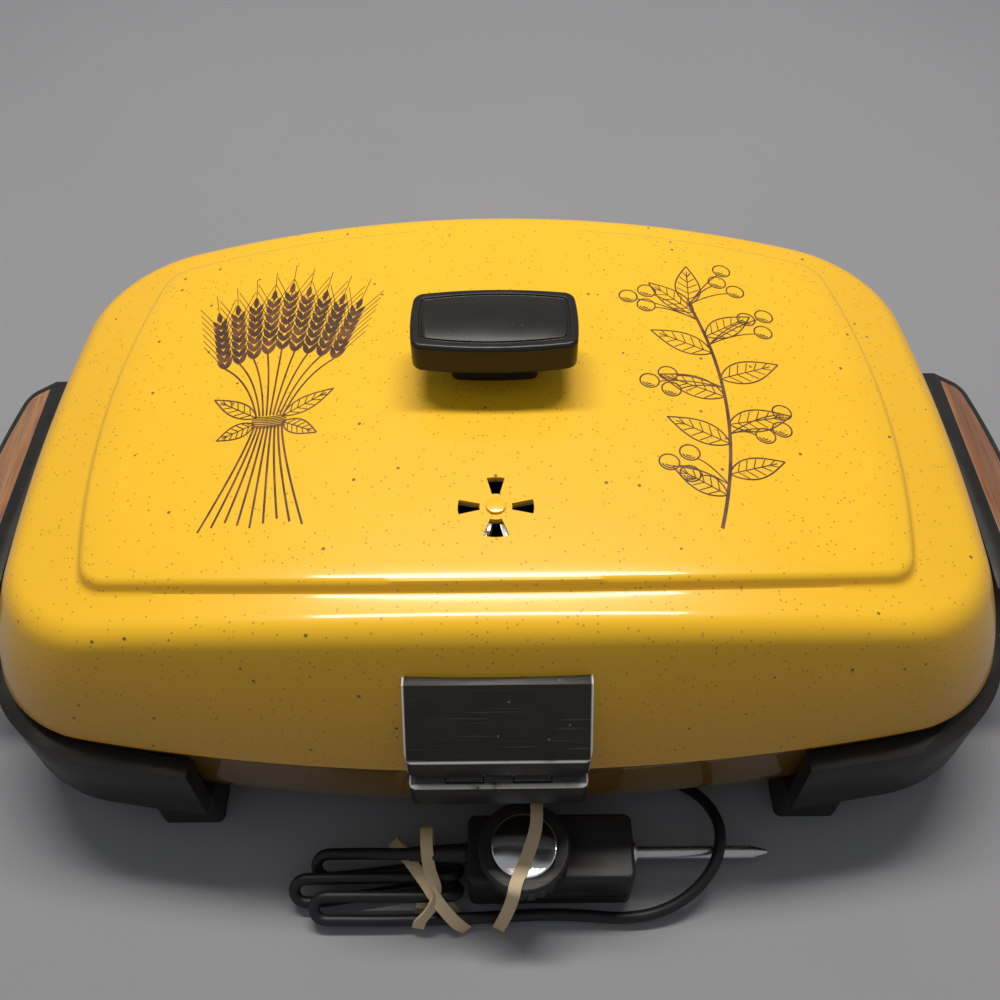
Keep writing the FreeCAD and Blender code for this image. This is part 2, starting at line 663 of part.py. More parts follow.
def make_pan_bracket():
    """Ledge on the pan's wall that carries the fixed knuckles."""
    ledge = box(-BRACKET_HALF_X, BRACKET_HALF_X, BRACKET_FRONT_Y, BRACKET_BACK_Y,
                LEDGE_BOTTOM_Z, LEDGE_TOP_Z)
    ledge = rounded(ledge, BRACKET_CORNER_R, is_front_corner)
    ears = []
    for a, b in FIXED_SPANS:
        ear = box(a, b, HINGE_Y - ARM_HALF_Y, HINGE_Y + ARM_HALF_Y, LEDGE_TOP_Z - PAST, HINGE_Z)
        ears.append(ear.fuse(knuckle(a, b)))
    bracket = ledge.fuse(ears)
    wall = pan_body(-PAN_SIDE_GAP, PAN_BOTTOM_Z, PAN_TOP_Z, PAN_BOTTOM_R)
    lip = prism(rim_outline(1.0, PAN_LIP_IN / 2, PAN_TOP_Z - PAN_FLANGE_H - PAN_SIDE_GAP), FAR)
    lid = prism(rim_outline(1.0, -LID_SIDE_GAP, PAN_TOP_Z), FAR)
    return bracket.cut(wall).cut(lip).cut(lid)


def make_lid_bracket():
    """Sloping plate on the lid's wall, with a straight front edge over the moving knuckles."""
    corners = [(BRACKET_FRONT_Y, PLATE_LOW_Z), (BRACKET_FRONT_Y, PLATE_EDGE_Z),
               (PLATE_TOP_Y, PLATE_TOP_Z), (BRACKET_BACK_Y, PLATE_TOP_Z),
               (BRACKET_BACK_Y, PLATE_LOW_Z), (BRACKET_FRONT_Y, PLATE_LOW_Z)]
    profile = Part.makePolygon([V(-BRACKET_HALF_X, y, z) for y, z in corners])
    plate = Part.Face(profile).extrude(V(2 * BRACKET_HALF_X, 0, 0))
    plate = rounded(plate, BRACKET_CORNER_R, is_front_edge)
    arms = []
    for a, b in MOVING_SPANS:
        arm = box(a, b, HINGE_Y - ARM_HALF_Y, HINGE_Y + ARM_HALF_Y, HINGE_Z, PLATE_LOW_Z + PAST)
        arms.append(arm.fuse(knuckle(a, b)))
    return plate.fuse(arms).cut(lid_room())


def is_front_edge(edge):
    return is_front_corner(edge) and edge.BoundBox.YLength < 0.1


def make_hinge():
    start, end = (-FAR, HINGE_Y, HINGE_Z), (FAR, HINGE_Y, HINGE_Z)
    lower = make_pan_bracket().cut(rod(HINGE_PIN_R, start, end))
    upper = make_lid_bracket().cut(rod(HINGE_PIN_R + HINGE_RUN, start, end))
    for rivet in pan_rivets():
        lower = lower.cut(rivet)
    for rivet in lid_rivets():
        upper = upper.cut(rivet)
    pin = rod(HINGE_PIN_R, (-PIN_HALF_X, HINGE_Y, HINGE_Z), (PIN_HALF_X, HINGE_Y, HINGE_Z))
    return lower, upper, pin


def lid_room():
    """The lid's outer wall, and a straight stretch below its rim."""
    below = rim_outline(1.0, -FIT, LID_RIM_Z - 4 * PAST)
    rim = rim_outline(1.0, -FIT, LID_RIM_Z)
    waist = rim_outline(LID_WAIST_SCALE, -FIT, LID_WAIST_Z)
    head = rim_outline(LID_HEAD_SCALE, -FIT, LID_HEAD_Z)
    walls = Part.makeLoft([rim, waist, head], True, False)
    return walls.fuse(Part.makeLoft([below, rim], True, True))


def rivets(z, y_out, y_in):
    """Two blind rivets, with a flat head on the inner side of the wall."""
    made = []
    for x in (-RIVET_X, RIVET_X):
        shank = rod(RIVET_SHANK_R, (x, y_out, z), (x, y_in + BACK_HEAD_T, z))
        head = rod(BACK_HEAD_R, (x, y_in, z), (x, y_in + BACK_HEAD_T, z))
        made.append(shank.fuse(head))
    return made


def pan_rivets():
    return rivets(PAN_RIVET_Z, PAN_RIVET_OUT_Y, PAN_RIVET_IN_Y)


def lid_rivets():
    return rivets(LID_RIVET_Z, LID_RIVET_OUT_Y, LID_RIVET_IN_Y)


# Socket in the left end

def make_socket():
    well = rod(WELL_R, (WELL_MOUTH_X, 0, SOCKET_Z), (WELL_MOUTH_X + WELL_LENGTH, 0, SOCKET_Z))
    bore = rod(WELL_BORE_R, (WELL_MOUTH_X - PAST, 0, SOCKET_Z),
               (WELL_MOUTH_X + WELL_LENGTH - WELL_END_T, 0, SOCKET_Z))
    low_z, high_z = SOCKET_Z - GUARD_BELOW, SOCKET_Z + GUARD_ABOVE
    guard = box(WELL_MOUTH_X, PIN_ROOT_X, -GUARD_HALF_Y, GUARD_HALF_Y, low_z, high_z)
    hollow = box(WELL_MOUTH_X - PAST, PIN_ROOT_X - PAST - GUARD_T, -GUARD_HALF_Y + GUARD_T,
                 GUARD_HALF_Y - GUARD_T, low_z + GUARD_T, high_z - GUARD_T)
    guard = guard.cut(hollow).cut(well)
    pins = []
    sleeves = []
    for y in (-PIN_PITCH, PIN_PITCH):
        pin = rod(PIN_R, (PIN_TIP_X, y, SOCKET_Z), (PIN_ROOT_X, y, SOCKET_Z))
        sleeve = rod(PIN_R + SLEEVE_T, (SLEEVE_MOUTH_X, y, SOCKET_Z), (PIN_ROOT_X, y, SOCKET_Z))
        guard = guard.cut(sleeve)
        pins.append(pin)
        sleeves.append(sleeve.cut(pin))
    guard = guard.cut(pan_body(-GUARD_GAP, PAN_BOTTOM_Z - GUARD_GAP, PAN_TOP_Z, PAN_BOTTOM_R))
    return well.cut(bore), pins, sleeves, guard


# Heat control and cord

def control_shell(z0, z1):
    shell = box(CTRL_X0, CTRL_X1, CTRL_Y0, CTRL_Y1, z0, z1)
    return rounded(shell, CTRL_CORNER_R, lambda e: e.BoundBox.ZLength > 5)


def make_control():
    """Two shells that meet at CTRL_SPLIT_Z, and the screws in the lower one."""
    low = control_shell(CTRL_LOW_Z, CTRL_SPLIT_Z)
    top = control_shell(CTRL_SPLIT_Z, CTRL_TOP_Z)
    low = rounded(low, CTRL_LOW_EDGE_R, lambda e: e.BoundBox.ZMax < CTRL_LOW_Z + 0.01)
    top = rounded(top, CTRL_TOP_EDGE_R, lambda e: e.BoundBox.ZMin > CTRL_TOP_Z - 0.01)
    w = CTRL_WALL
    hollow = box(CTRL_X0 + w, CTRL_X1 - w, CTRL_Y0 + w, CTRL_Y1 - w, CTRL_LOW_Z + w, CTRL_TOP_Z - w)
    hollow = rounded(hollow, CTRL_INNER_R, lambda e: e.BoundBox.ZLength > 5)
    shaft_r = DIAL_SHAFT_R + DIAL_SHAFT_RUN
    low = low.cut(hollow).cut(rod(COLLAR_R, (COLLAR_X[0], PROBE_Y, PROBE_Z), (FAR, PROBE_Y, PROBE_Z)))
    top = top.cut(hollow).cut(rod(shaft_r, (DIAL_X, DIAL_Y, DIAL_SHAFT_LOW_Z), (DIAL_X, DIAL_Y, FAR)))
    screws = []
    for x in CTRL_SCREW_X:
        screw = rod(CTRL_SCREW_R, (x, CTRL_SCREW_Y, CTRL_LOW_Z + CTRL_SCREW_SINK),
                    (x, CTRL_SCREW_Y, CTRL_LOW_Z + w))
        screws.append(screw)
        low = low.cut(screw)
    return low, top, screws


def make_probe():
    cone_x = PROBE_TIP_X - PROBE_TIP_LENGTH
    probe = rod(PROBE_R, (PROBE_INNER_X, PROBE_Y, PROBE_Z), (cone_x, PROBE_Y, PROBE_Z))
    tip = Part.makeCone(PROBE_R, PROBE_TIP_R, PROBE_TIP_LENGTH, V(cone_x, PROBE_Y, PROBE_Z), X_AXIS)
    collar = rod(COLLAR_R, (COLLAR_X[0], PROBE_Y, PROBE_Z), (COLLAR_X[1], PROBE_Y, PROBE_Z))
    return probe.fuse(tip), collar.cut(probe)


def make_control_insides():
    """Contact clips, the thermostat's plate, its arm and strip, and the dial's shaft."""
    clips = [box(*CLIP_X, y - CLIP_HALF_T, y + CLIP_HALF_T, *CLIP_Z) for y in CLIP_Y]
    shaft = rod(DIAL_SHAFT_R, (DIAL_X, DIAL_Y, DIAL_SHAFT_LOW_Z), (DIAL_X, DIAL_Y, DIAL_SHAFT_TOP_Z))
    return clips, box(*PLATE_BOX), box(*ARM_BOX), box(*STRIP_BOX), shaft


def make_dial():
    """Fluted disc with a bright cap let into its top."""
    low_z = CTRL_TOP_Z + DIAL_GAP
    seat_z = low_z + DIAL_H - CAP_SEAT
    dial = Part.makeCylinder(DIAL_R, DIAL_H, V(DIAL_X, DIAL_Y, low_z))
    dial = rounded(dial, DIAL_EDGE_R, lambda e: e.BoundBox.ZMin > low_z + 1)
    flutes = []
    for i in range(FLUTES):
        a = 2 * math.pi * i / FLUTES
        out = DIAL_R + FLUTE_OUT
        spot = V(DIAL_X + out * math.cos(a), DIAL_Y + out * math.sin(a), low_z - PAST)
        flutes.append(Part.makeCylinder(FLUTE_R, DIAL_H - FLUTE_SHORT, spot))
    dial = dial.cut(flutes)
    dial = dial.cut(rod(DIAL_SHAFT_R, (DIAL_X, DIAL_Y, 0), (DIAL_X, DIAL_Y, DIAL_SHAFT_TOP_Z)))
    dial = dial.cut(rod(CAP_R + FIT, (DIAL_X, DIAL_Y, seat_z), (DIAL_X, DIAL_Y, FAR)))
    cap = Part.makeCylinder(CAP_R, CAP_T, V(DIAL_X, DIAL_Y, seat_z))
    return dial, rounded(cap, CAP_EDGE_R, lambda e: e.BoundBox.ZMin > seat_z + CAP_SEAT)


def make_cord():
    hank = box(HANK_X0, HANK_X1, HANK_Y0, HANK_Y1, CTRL_LOW_Z, HANK_TOP_Z)
    hank = rounded(hank, HANK_END_R, lambda e: e.BoundBox.ZLength > 5 and e.BoundBox.XMax < HANK_X0 + 1)
    hank = rounded(hank, HANK_EDGE_R, lambda e: e.BoundBox.ZMin > HANK_TOP_Z - 0.01)
    lead, lead_wire, lead_radii = tube(LEAD_ROUTE, CORD_R)
    lead = max(lead.cut(hank).Solids, key=lambda solid: solid.BoundBox.ZMax)
    free, wire, radii = tube(CORD_ROUTE, CORD_R)
    print("cord bend radii", [round(r, 1) for r in radii + lead_radii])
    print("cord free length", round(wire.Length, 1), "lead", round(lead_wire.Length, 1))
    section = math.pi * CORD_R ** 2
    print("cord volume over section times length", round(free.Volume / (section * wire.Length), 4))
    return hank, free, lead


def make_relief():
    return Part.makeCone(*RELIEF_R, RELIEF_LENGTH, V(CTRL_X0, LEAD_Y, LEAD_Z), V(-1, 0, 0))


def make_plug():
    """A flat moulded plug that lies on the table, with two blades."""
    x, y, _ = CORD_ROUTE[-1]
    back_x = x - PLUG_LENGTH
    body = box(back_x, x, y - PLUG_HALF_Y, y + PLUG_HALF_Y, 0.0, PLUG_TOP_Z)
    body = rounded(body, PLUG_CORNER_R, lambda e: e.BoundBox.ZLength > 5)
    blades = []
    for side in (y - BLADE_PITCH, y + BLADE_PITCH):
        blades.append(box(back_x - BLADE_LENGTH, back_x, side - BLADE_HALF_T, side + BLADE_HALF_T,
                          *BLADE_Z))
    return body, blades


def make_band(x, top_z, back_y):
    """Flat rubber band round the strands or the control, seen as a thin closed loop."""
    x0, x1 = x - BAND_WIDTH / 2, x + BAND_WIDTH / 2
    inner = box(x0, x1, BAND_FRONT_Y, back_y, BAND_T, top_z)
    outer = box(x0, x1, BAND_FRONT_Y - BAND_T, back_y + BAND_T, 0.0, top_z + BAND_T)
    outer = rounded(outer, BAND_CORNER_R, lambda e: e.BoundBox.XLength > 3 and e.BoundBox.ZMin > top_z)
    return outer.cut(inner)


def main():
    os.makedirs("parts", exist_ok=True)
    pan = make_pan()
    save("pan_shell", pan)
    save("heating_element", along_element(ELEMENT_R))
    well, pins, sleeves, guard = make_socket()
    lid = make_lid()
    save("lid_shell", lid)
    shutter, rivet = make_vent()
    save("vent_shutter", shutter)
    save("vent_rivet", rivet)
    knob, pedestal, washer, screw = make_knob()
    save("knob", knob)
    save("knob_pedestal", pedestal)
    save("knob_washer", washer)
    save("knob_screw", screw)
    for name, side, window in (("left", -1, True), ("right", 1, False)):
        frame, inlay = make_end(side, window)
        save(name + "_end_frame", frame)
        save(name + "_wood_inlay", inlay)
    lower, upper, pin = make_hinge()
    save("pan_hinge_bracket", lower)
    save("lid_hinge_bracket", upper)
    save("hinge_pin", pin)
    save("sensor_well", well)
    save("terminal_pins", *pins)
    save("terminal_insulators", *sleeves)
    save("terminal_guard", guard)
    save("frame_screws", *frame_screws())
    save("pan_bracket_rivets", *pan_rivets())
    save("lid_bracket_rivets", *lid_rivets())
    low, top, screws = make_control()
    save("control_screws", *screws)
    save("control_bottom_shell", low)
    save("control_top_shell", top)
    probe, collar = make_probe()
    save("probe_rod", probe)
    save("probe_collar", collar)
    clips, plate, arm, strip, shaft = make_control_insides()
    save("contact_clips", *clips)
    save("thermostat_frame", plate)
    save("contact_arm", arm)
    save("bimetal_strip", strip)
    save("dial_shaft", shaft)
    dial, cap = make_dial()
    save("dial_knob", dial)
    save("dial_cap", cap)
    hank, free, lead = make_cord()
    save("cord_hank", hank)
    save("cord", free)
    save("cord_lead", lead)
    save("strain_relief", make_relief())
    plug, blades = make_plug()
    save("plug_body", plug)
    save("plug_blades", *blades)
    save("rubber_band_left", make_band(BAND_LEFT_X, BAND_LEFT_TOP_Z, BAND_LEFT_BACK_Y))
    save("rubber_band_right", make_band(BAND_RIGHT_X, BAND_RIGHT_TOP_Z, BAND_RIGHT_BACK_Y))


if __name__ == "__main__":
    main()
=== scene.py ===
# Electric skillet with a hinged lid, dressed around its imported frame.
import math

import bmesh
import bpy
from mathutils import Matrix, Vector


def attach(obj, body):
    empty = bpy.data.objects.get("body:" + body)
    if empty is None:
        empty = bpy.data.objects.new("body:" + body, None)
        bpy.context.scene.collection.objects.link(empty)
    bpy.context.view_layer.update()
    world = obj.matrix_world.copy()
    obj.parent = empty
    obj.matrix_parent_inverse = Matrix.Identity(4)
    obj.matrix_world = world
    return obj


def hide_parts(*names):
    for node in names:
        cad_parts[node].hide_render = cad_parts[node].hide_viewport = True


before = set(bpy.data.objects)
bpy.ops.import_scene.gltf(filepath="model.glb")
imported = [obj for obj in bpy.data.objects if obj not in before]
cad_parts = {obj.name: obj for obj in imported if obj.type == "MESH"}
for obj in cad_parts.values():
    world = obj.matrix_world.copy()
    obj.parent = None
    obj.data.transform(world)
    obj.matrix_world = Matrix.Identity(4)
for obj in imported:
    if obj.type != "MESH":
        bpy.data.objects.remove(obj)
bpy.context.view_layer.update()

# Camera: the photograph's angle, as a tilt down, a small turn and a small roll. The pieces are
# drawn about the middle of the pan, which lies SHIFT_Y behind the middle of the frame.
SHIFT_Y = 0.0036
IMAGE_PX = 1000
FOCAL_PX = 1029.15
SENSOR_MM = 36.0
NEAREST_SEEN = 0.01
TILT = math.radians(51.02)
TURN = math.radians(-0.09)
ROLL = math.radians(-0.50)
CAMERA_AT = Vector((0.00108, -0.28197 + SHIFT_Y, 0.40632))

back = Vector((math.sin(TURN) * math.cos(TILT), -math.cos(TURN) * math.cos(TILT), math.sin(TILT)))
level = (-back).cross(Vector((0, 0, 1))).normalized()
upright = level.cross(-back)
right = math.cos(ROLL) * level + math.sin(ROLL) * upright
up = -math.sin(ROLL) * level + math.cos(ROLL) * upright
lens = bpy.data.cameras.new("camera")
lens.sensor_width = SENSOR_MM
lens.lens = SENSOR_MM * FOCAL_PX / IMAGE_PX
lens.clip_start = NEAREST_SEEN
camera = bpy.data.objects.new("camera", lens)
bpy.context.collection.objects.link(camera)
camera.matrix_world = Matrix.Translation(CAMERA_AT) @ Matrix((right, up, back)).transposed().to_4x4()
bpy.context.scene.camera = camera


# Cord: a thin black rubber mains lead, folded back and forth into a flat hank that is tied with
# bands. It leaves the heat control, ends the hank at its front, runs along the front of the
# control and loops back under the pan to its plug.
MM = 0.001
CORD_R = 2.2
LEAD = [(-34.0, -141.0, 20.0), (-41.0, -141.0, 20.0), (-48.0, -140.2, 18.6), (-55.0, -138.6, 14.2)]
FREE = [(-44.0, -160.6, 4.4), (-24.0, -160.2, 4.0), (-4.0, -159.6, 3.8), (14.0, -158.4, 3.2),
        (31.0, -158.9, 3.2), (46.0, -160.6, 3.6), (61.0, -159.0, 5.2), (74.0, -153.0, 10.0),
        (82.5, -144.0, 15.6), (86.0, -132.0, 15.8), (84.5, -120.5, 10.8), (78.5, -110.5, 5.4),
        (67.0, -103.4, 2.9), (51.5, -101.5, 2.6), (34.0, -101.5, 2.6)]
# Where the cord turns back, in order: the middle of each turn, the side it turns on and the way
# it leans. A turn leans, so that one of its runs lies low and the other on top of the next turn.
TURN_R = 4.7
TURN_RISE = 3.3
TURNS = [((-66.0, -141.0, 8.2), -1, 1), ((-20.5, -143.3, 7.8), 1, -1), ((-73.6, -150.3, 8.0), -1, 1),
         ((-20.5, -150.6, 7.6), 1, -1), ((-65.5, -157.0, 8.0), -1, 1)]
TURN_SHAPE = ((-0.8, 1.0), (0.41, 1.0), (1.0, 0.41), (1.0, -0.41), (0.41, -1.0), (-0.8, -1.0))


def at(x, y, z):
    """A point given in millimetres about the middle of the pan."""
    return Vector((x * MM, y * MM + SHIFT_Y, z * MM))


def hank_turns():
    """The hank's turns, each worked out about its middle."""
    aside = math.sqrt(TURN_R ** 2 - TURN_RISE ** 2)
    points = []
    for (x, y, z), way, tilt in TURNS:
        for out, over in TURN_SHAPE:
            points.append((x + way * TURN_R * out, y + aside * over, z + tilt * TURN_RISE * over))
    return points


def spline_piece(name, points, radius):
    """A smooth round line through the points; the points carry its radius."""
    curve = bpy.data.curves.new(name, "CURVE")
    curve.dimensions = "3D"
    line = curve.splines.new("NURBS")
    line.points.add(len(points) - 1)
    for point, place in zip(line.points, points):
        point.co = (*at(*place), 1.0)
        point.radius = radius * MM
    line.order_u = 3
    line.use_endpoint_u = True
    line.resolution_u = 6
    curve.bevel_depth = 1.0
    curve.bevel_resolution = 5
    piece = bpy.data.objects.new(name, curve)
    bpy.context.collection.objects.link(piece)
    return piece


def opaque(item):
    """A plain colour with full opacity added. A link or a number passes as it is."""
    return (*item, 1.0) if isinstance(item, tuple) else item


class Value:
    """A shader socket whose arithmetic adds Math nodes to its finish."""

    def __init__(self, finish, socket):
        self.finish = finish
        self.socket = socket

    def math(self, operation, *others):
        sockets = dict(enumerate((self, *others)))
        return self.finish.node("ShaderNodeMath", {"operation": operation}, sockets)

    def __add__(self, other):
        return self.math("ADD", other)

    def __radd__(self, other):
        return self.math("ADD", other)

    def __mul__(self, other):
        return self.math("MULTIPLY", other)

    def __rmul__(self, other):
        return self.math("MULTIPLY", other)

    def __sub__(self, other):
        return self.math("SUBTRACT", other)

    def __rsub__(self, other):
        return self.finish.node("ShaderNodeMath", {"operation": "SUBTRACT"}, {0: other, 1: self})

    def __gt__(self, other):
        return self.math("GREATER_THAN", other)

    def __lt__(self, other):
        return self.math("LESS_THAN", other)

    def between(self, low, high):
        """0 below low, 1 above high, and a smooth step in between."""
        return self.finish.node("ShaderNodeMapRange", {"interpolation_type": "SMOOTHSTEP"},
                                {"Value": self, "From Min": low, "From Max": high}, "Result")


class Finish:
    """One material, with constants set on the shader and changing values linked to it."""

    # A Mix node's colour sockets share their names with others, so they go by number.
    MIX_AMOUNT, MIX_ONE, MIX_TWO, MIX_COLOUR = 0, 6, 7, 2
    SPECK_EDGE = 0.6

    def __init__(self, name, **constants):
        self.material = bpy.data.materials.new(name)
        self.material.use_nodes = True
        self.tree = self.material.node_tree
        self.shader = self.tree.nodes["Principled BSDF"]
        for socket, value in constants.items():
            self.set(socket.replace("_", " "), value)
        self.place = self.node("ShaderNodeTexCoord", {}, {}, "Object")

    def plug(self, socket, item):
        if isinstance(item, Value):
            self.tree.links.new(item.socket, socket)
        else:
            socket.default_value = item

    def node(self, kind, settings, sockets, output=0):
        """Any node, from its type, its settings and the values or links of its sockets."""
        node = self.tree.nodes.new(kind)
        for name, value in settings.items():
            setattr(node, name, value)
        for name, item in sockets.items():
            self.plug(node.inputs[name], item)
        return Value(self, node.outputs[output])

    def set(self, socket, item):
        self.plug(self.shader.inputs[socket], opaque(item))

    def axis(self, name):
        return self.node("ShaderNodeSeparateXYZ", {}, {"Vector": self.place}, name)

    def noise(self, scale, detail=3.0, rough=0.5, where=None):
        return self.node("ShaderNodeTexNoise", {}, {"Vector": where or self.place, "Scale": scale,
                                                    "Detail": detail, "Roughness": rough}, "Fac")

    def stretched(self, sx, sy, sz):
        return self.node("ShaderNodeMapping", {}, {"Vector": self.place, "Scale": (sx, sy, sz)})

    def mix(self, amount, one, two):
        """Colour one where the amount is 0, and colour two where it is 1."""
        sockets = {self.MIX_AMOUNT: amount, self.MIX_ONE: opaque(one), self.MIX_TWO: opaque(two)}
        return self.node("ShaderNodeMix", {"data_type": "RGBA"}, sockets, self.MIX_COLOUR)

    def bump(self, height, strength, distance=0.0002):
        normal = self.node("ShaderNodeBump", {}, {"Height": height, "Strength": strength,
                                                  "Distance": distance}, "Normal")
        self.set("Normal", normal)

    def specks(self, scale, share, size):
        """Small dots: only some cells of a Voronoi pattern hold one."""
        cells = {"Vector": self.place, "Scale": scale}
        spots = self.node("ShaderNodeTexVoronoi", {}, cells, "Distance")
        pick = self.node("ShaderNodeTexVoronoi", {}, cells, "Color")
        chosen = self.node("ShaderNodeSeparateColor", {}, {"Color": pick}, "Red") < share
        return (1.0 - spots.between(size * self.SPECK_EDGE, size)) * chosen


cord = spline_piece("mains_cord", LEAD + hank_turns() + FREE, CORD_R)
cord.data.use_fill_caps = True
rubber = Finish("black_flex", Roughness=0.45, Specular_IOR_Level=0.35)
grain = rubber.noise(900.0)
rubber.set("Base Color", rubber.mix(grain, (0.006, 0.006, 0.007), (0.014, 0.014, 0.015)))
rubber.bump(grain, 0.15)
cord.data.materials.append(rubber.material)
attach(cord, "heat_control")
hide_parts("cord", "cord_lead", "cord_hank")
at(*LEAD[0])


# Lid: pressed aluminium in glossy gold enamel with fine dark specks. Bowed sides rise to a soft
# shoulder round a roof that is domed from end to end, with a raised panel in its middle.
# The rim and the panel are given by half their length and width, how far their short and long
# sides bow out, and their corner radius.
RIM = (195.0, 128.0, 10.4, 23.4, 50.9)
PANEL = (153.6, 94.1, 14.2, 13.0, 13.6)
LEAST_CORNER_R = 3.0
LID_RIM_Z = 64.0
LID_TOP_Z = 132.0
PANEL_STEP = 4.4
ROOF_Z = LID_TOP_Z - PANEL_STEP
LID_WALL = 1.8
DOME_R = 705.0
WALL_SLOPE = 0.0012486
WALL_CURVE = 1.691e-5
SHOULDER_REACH = 7.0
SHOULDER_SHARE = 0.6
LONG_STEPS = 40
SHORT_STEPS = 28
CORNER_STEPS = 18
WALL_STEPS = 14
SHOULDER_STEPS = 8
SETTLING_ROUNDS = 12
# The step up to the panel, from its foot: how far outside the panel's edge, and how high.
PANEL_FOOT = 1.6
PANEL_PROFILE = ((2.6, 0.0), (1.2, 0.25), (0.4, 1.3), (-0.1, 2.8), (-1.0, 4.05), (-2.4, 4.4))
PANEL_TOP_SCALE = 0.984
PANEL_TOP_SHARES = (0.93, 0.86, 0.78, 0.7, 0.6, 0.5, 0.4, 0.3, 0.2, 0.1, 0.03)
VENT_Y = -62.8
VENT_R = (5.6, 13.1)
VENT_SLOTS = ((0, 14), (90, 14), (180, 14), (270, 20.5))
SLOT_STEPS = 6
SLOT_CUT_Z = (125, 136)
SKIRT_LOW, SKIRT_HIGH = 0.062, 0.124


def drop(x):
    """How far the domed roof has come down at x."""
    return DOME_R - math.sqrt(DOME_R ** 2 - x * x)


def bowed(half_x, half_y, bow_x, bow_y, corner_r):
    """Points round a rectangle with bowed sides and round corners, the same count each time."""
    r_long = (half_x ** 2 + bow_y ** 2) / (2 * bow_y)
    r_short = (half_y ** 2 + bow_x ** 2) / (2 * bow_x)
    c_long = Vector((0, half_y - r_long))
    c_short = Vector((half_x - r_short, 0))
    span = c_short - c_long
    reach = r_long - corner_r
    along = (reach ** 2 - (r_short - corner_r) ** 2 + span.length ** 2) / (2 * span.length)
    aside = math.sqrt(reach ** 2 - along ** 2)
    unit = span.normalized()
    corner = c_long + unit * along + Vector((unit.y, -unit.x)) * aside
    long_way = (corner - c_long).normalized()
    short_way = (corner - c_short).normalized()
    a_long = math.atan2(long_way.y, long_way.x)
    a_short = math.atan2(short_way.y, short_way.x)
    quarter = []
    for k in range(LONG_STEPS):
        a = math.pi / 2 + (a_long - math.pi / 2) * k / LONG_STEPS
        quarter.append(c_long + r_long * Vector((math.cos(a), math.sin(a))))
    for k in range(CORNER_STEPS):
        a = a_long + (a_short - a_long) * k / CORNER_STEPS
        quarter.append(corner + corner_r * Vector((math.cos(a), math.sin(a))))
    for k in range(SHORT_STEPS + 1):
        a = a_short * (1 - k / SHORT_STEPS)
        quarter.append(c_short + r_short * Vector((math.cos(a), math.sin(a))))
    lower = [Vector((p.x, -p.y)) for p in reversed(quarter[:-1])]
    half = quarter + lower
    other = [Vector((-p.x, p.y)) for p in reversed(half[1:-1])]
    return half + other


def rim_ring(scale, inset):
    """The rim's outline at a scale, drawn in by an inset."""
    hx, hy, bx, by, r = (v * scale for v in RIM)
    return bowed(hx - inset, hy - inset, bx, by, max(r - inset, LEAST_CORNER_R))


def wall_scale(z):
    """How much of the rim's size the lid's wall still has at a height."""
    dz = z - LID_RIM_Z
    return 1 - WALL_SLOPE * dz - WALL_CURVE * dz * dz


def new_piece(name, data):
    piece = bpy.data.objects.new(name, data)
    bpy.context.collection.objects.link(piece)
    return piece


def piece_from(mesh, name):
    """A piece from a mesh that is ready, with its faces turned outwards."""
    bmesh.ops.recalc_face_normals(mesh, faces=mesh.faces)
    data = bpy.data.meshes.new(name)
    mesh.to_mesh(data)
    mesh.free()
    return new_piece(name, data)


def rings_piece(name, rings, closed_bottom=False):
    """A skin over rings that all have the same count of points, closed over the last ring."""
    mesh = bmesh.new()
    rows = [[mesh.verts.new(at(*p)) for p in ring] for ring in rings]
    for low, high in zip(rows, rows[1:]):
        count = len(low)
        for k in range(count):
            nxt = (k + 1) % count
            mesh.faces.new((low[k], low[nxt], high[nxt], high[k]))
    mesh.faces.new(rows[-1])
    if closed_bottom:
        mesh.faces.new(list(reversed(rows[0])))
    return piece_from(mesh, name)


def smooth(piece, degrees):
    """Smooth shading, apart from edges that turn by more than some degrees."""
    for face in piece.data.polygons:
        face.use_smooth = True
    piece.data.set_sharp_from_angle(angle=math.radians(degrees))


def bake_modifiers(piece):
    graph = bpy.context.evaluated_depsgraph_get()
    data = bpy.data.meshes.new_from_object(piece.evaluated_get(graph))
    piece.modifiers.clear()
    piece.data = data


def blend_point(a, b, c, t):
    """A quadratic bend from a to c that starts towards b."""
    return tuple((1 - t) ** 2 * p + 2 * t * (1 - t) * q + t * t * r for p, q, r in zip(a, b, c))


def panel_ring(grow, lift):
    """The panel's outline, made larger and lifted off the roof."""
    hx, hy, bx, by, r = PANEL
    return [(p.x, p.y, ROOF_Z + lift - drop(p.x)) for p in bowed(hx + grow, hy + grow, bx, by, r + grow)]


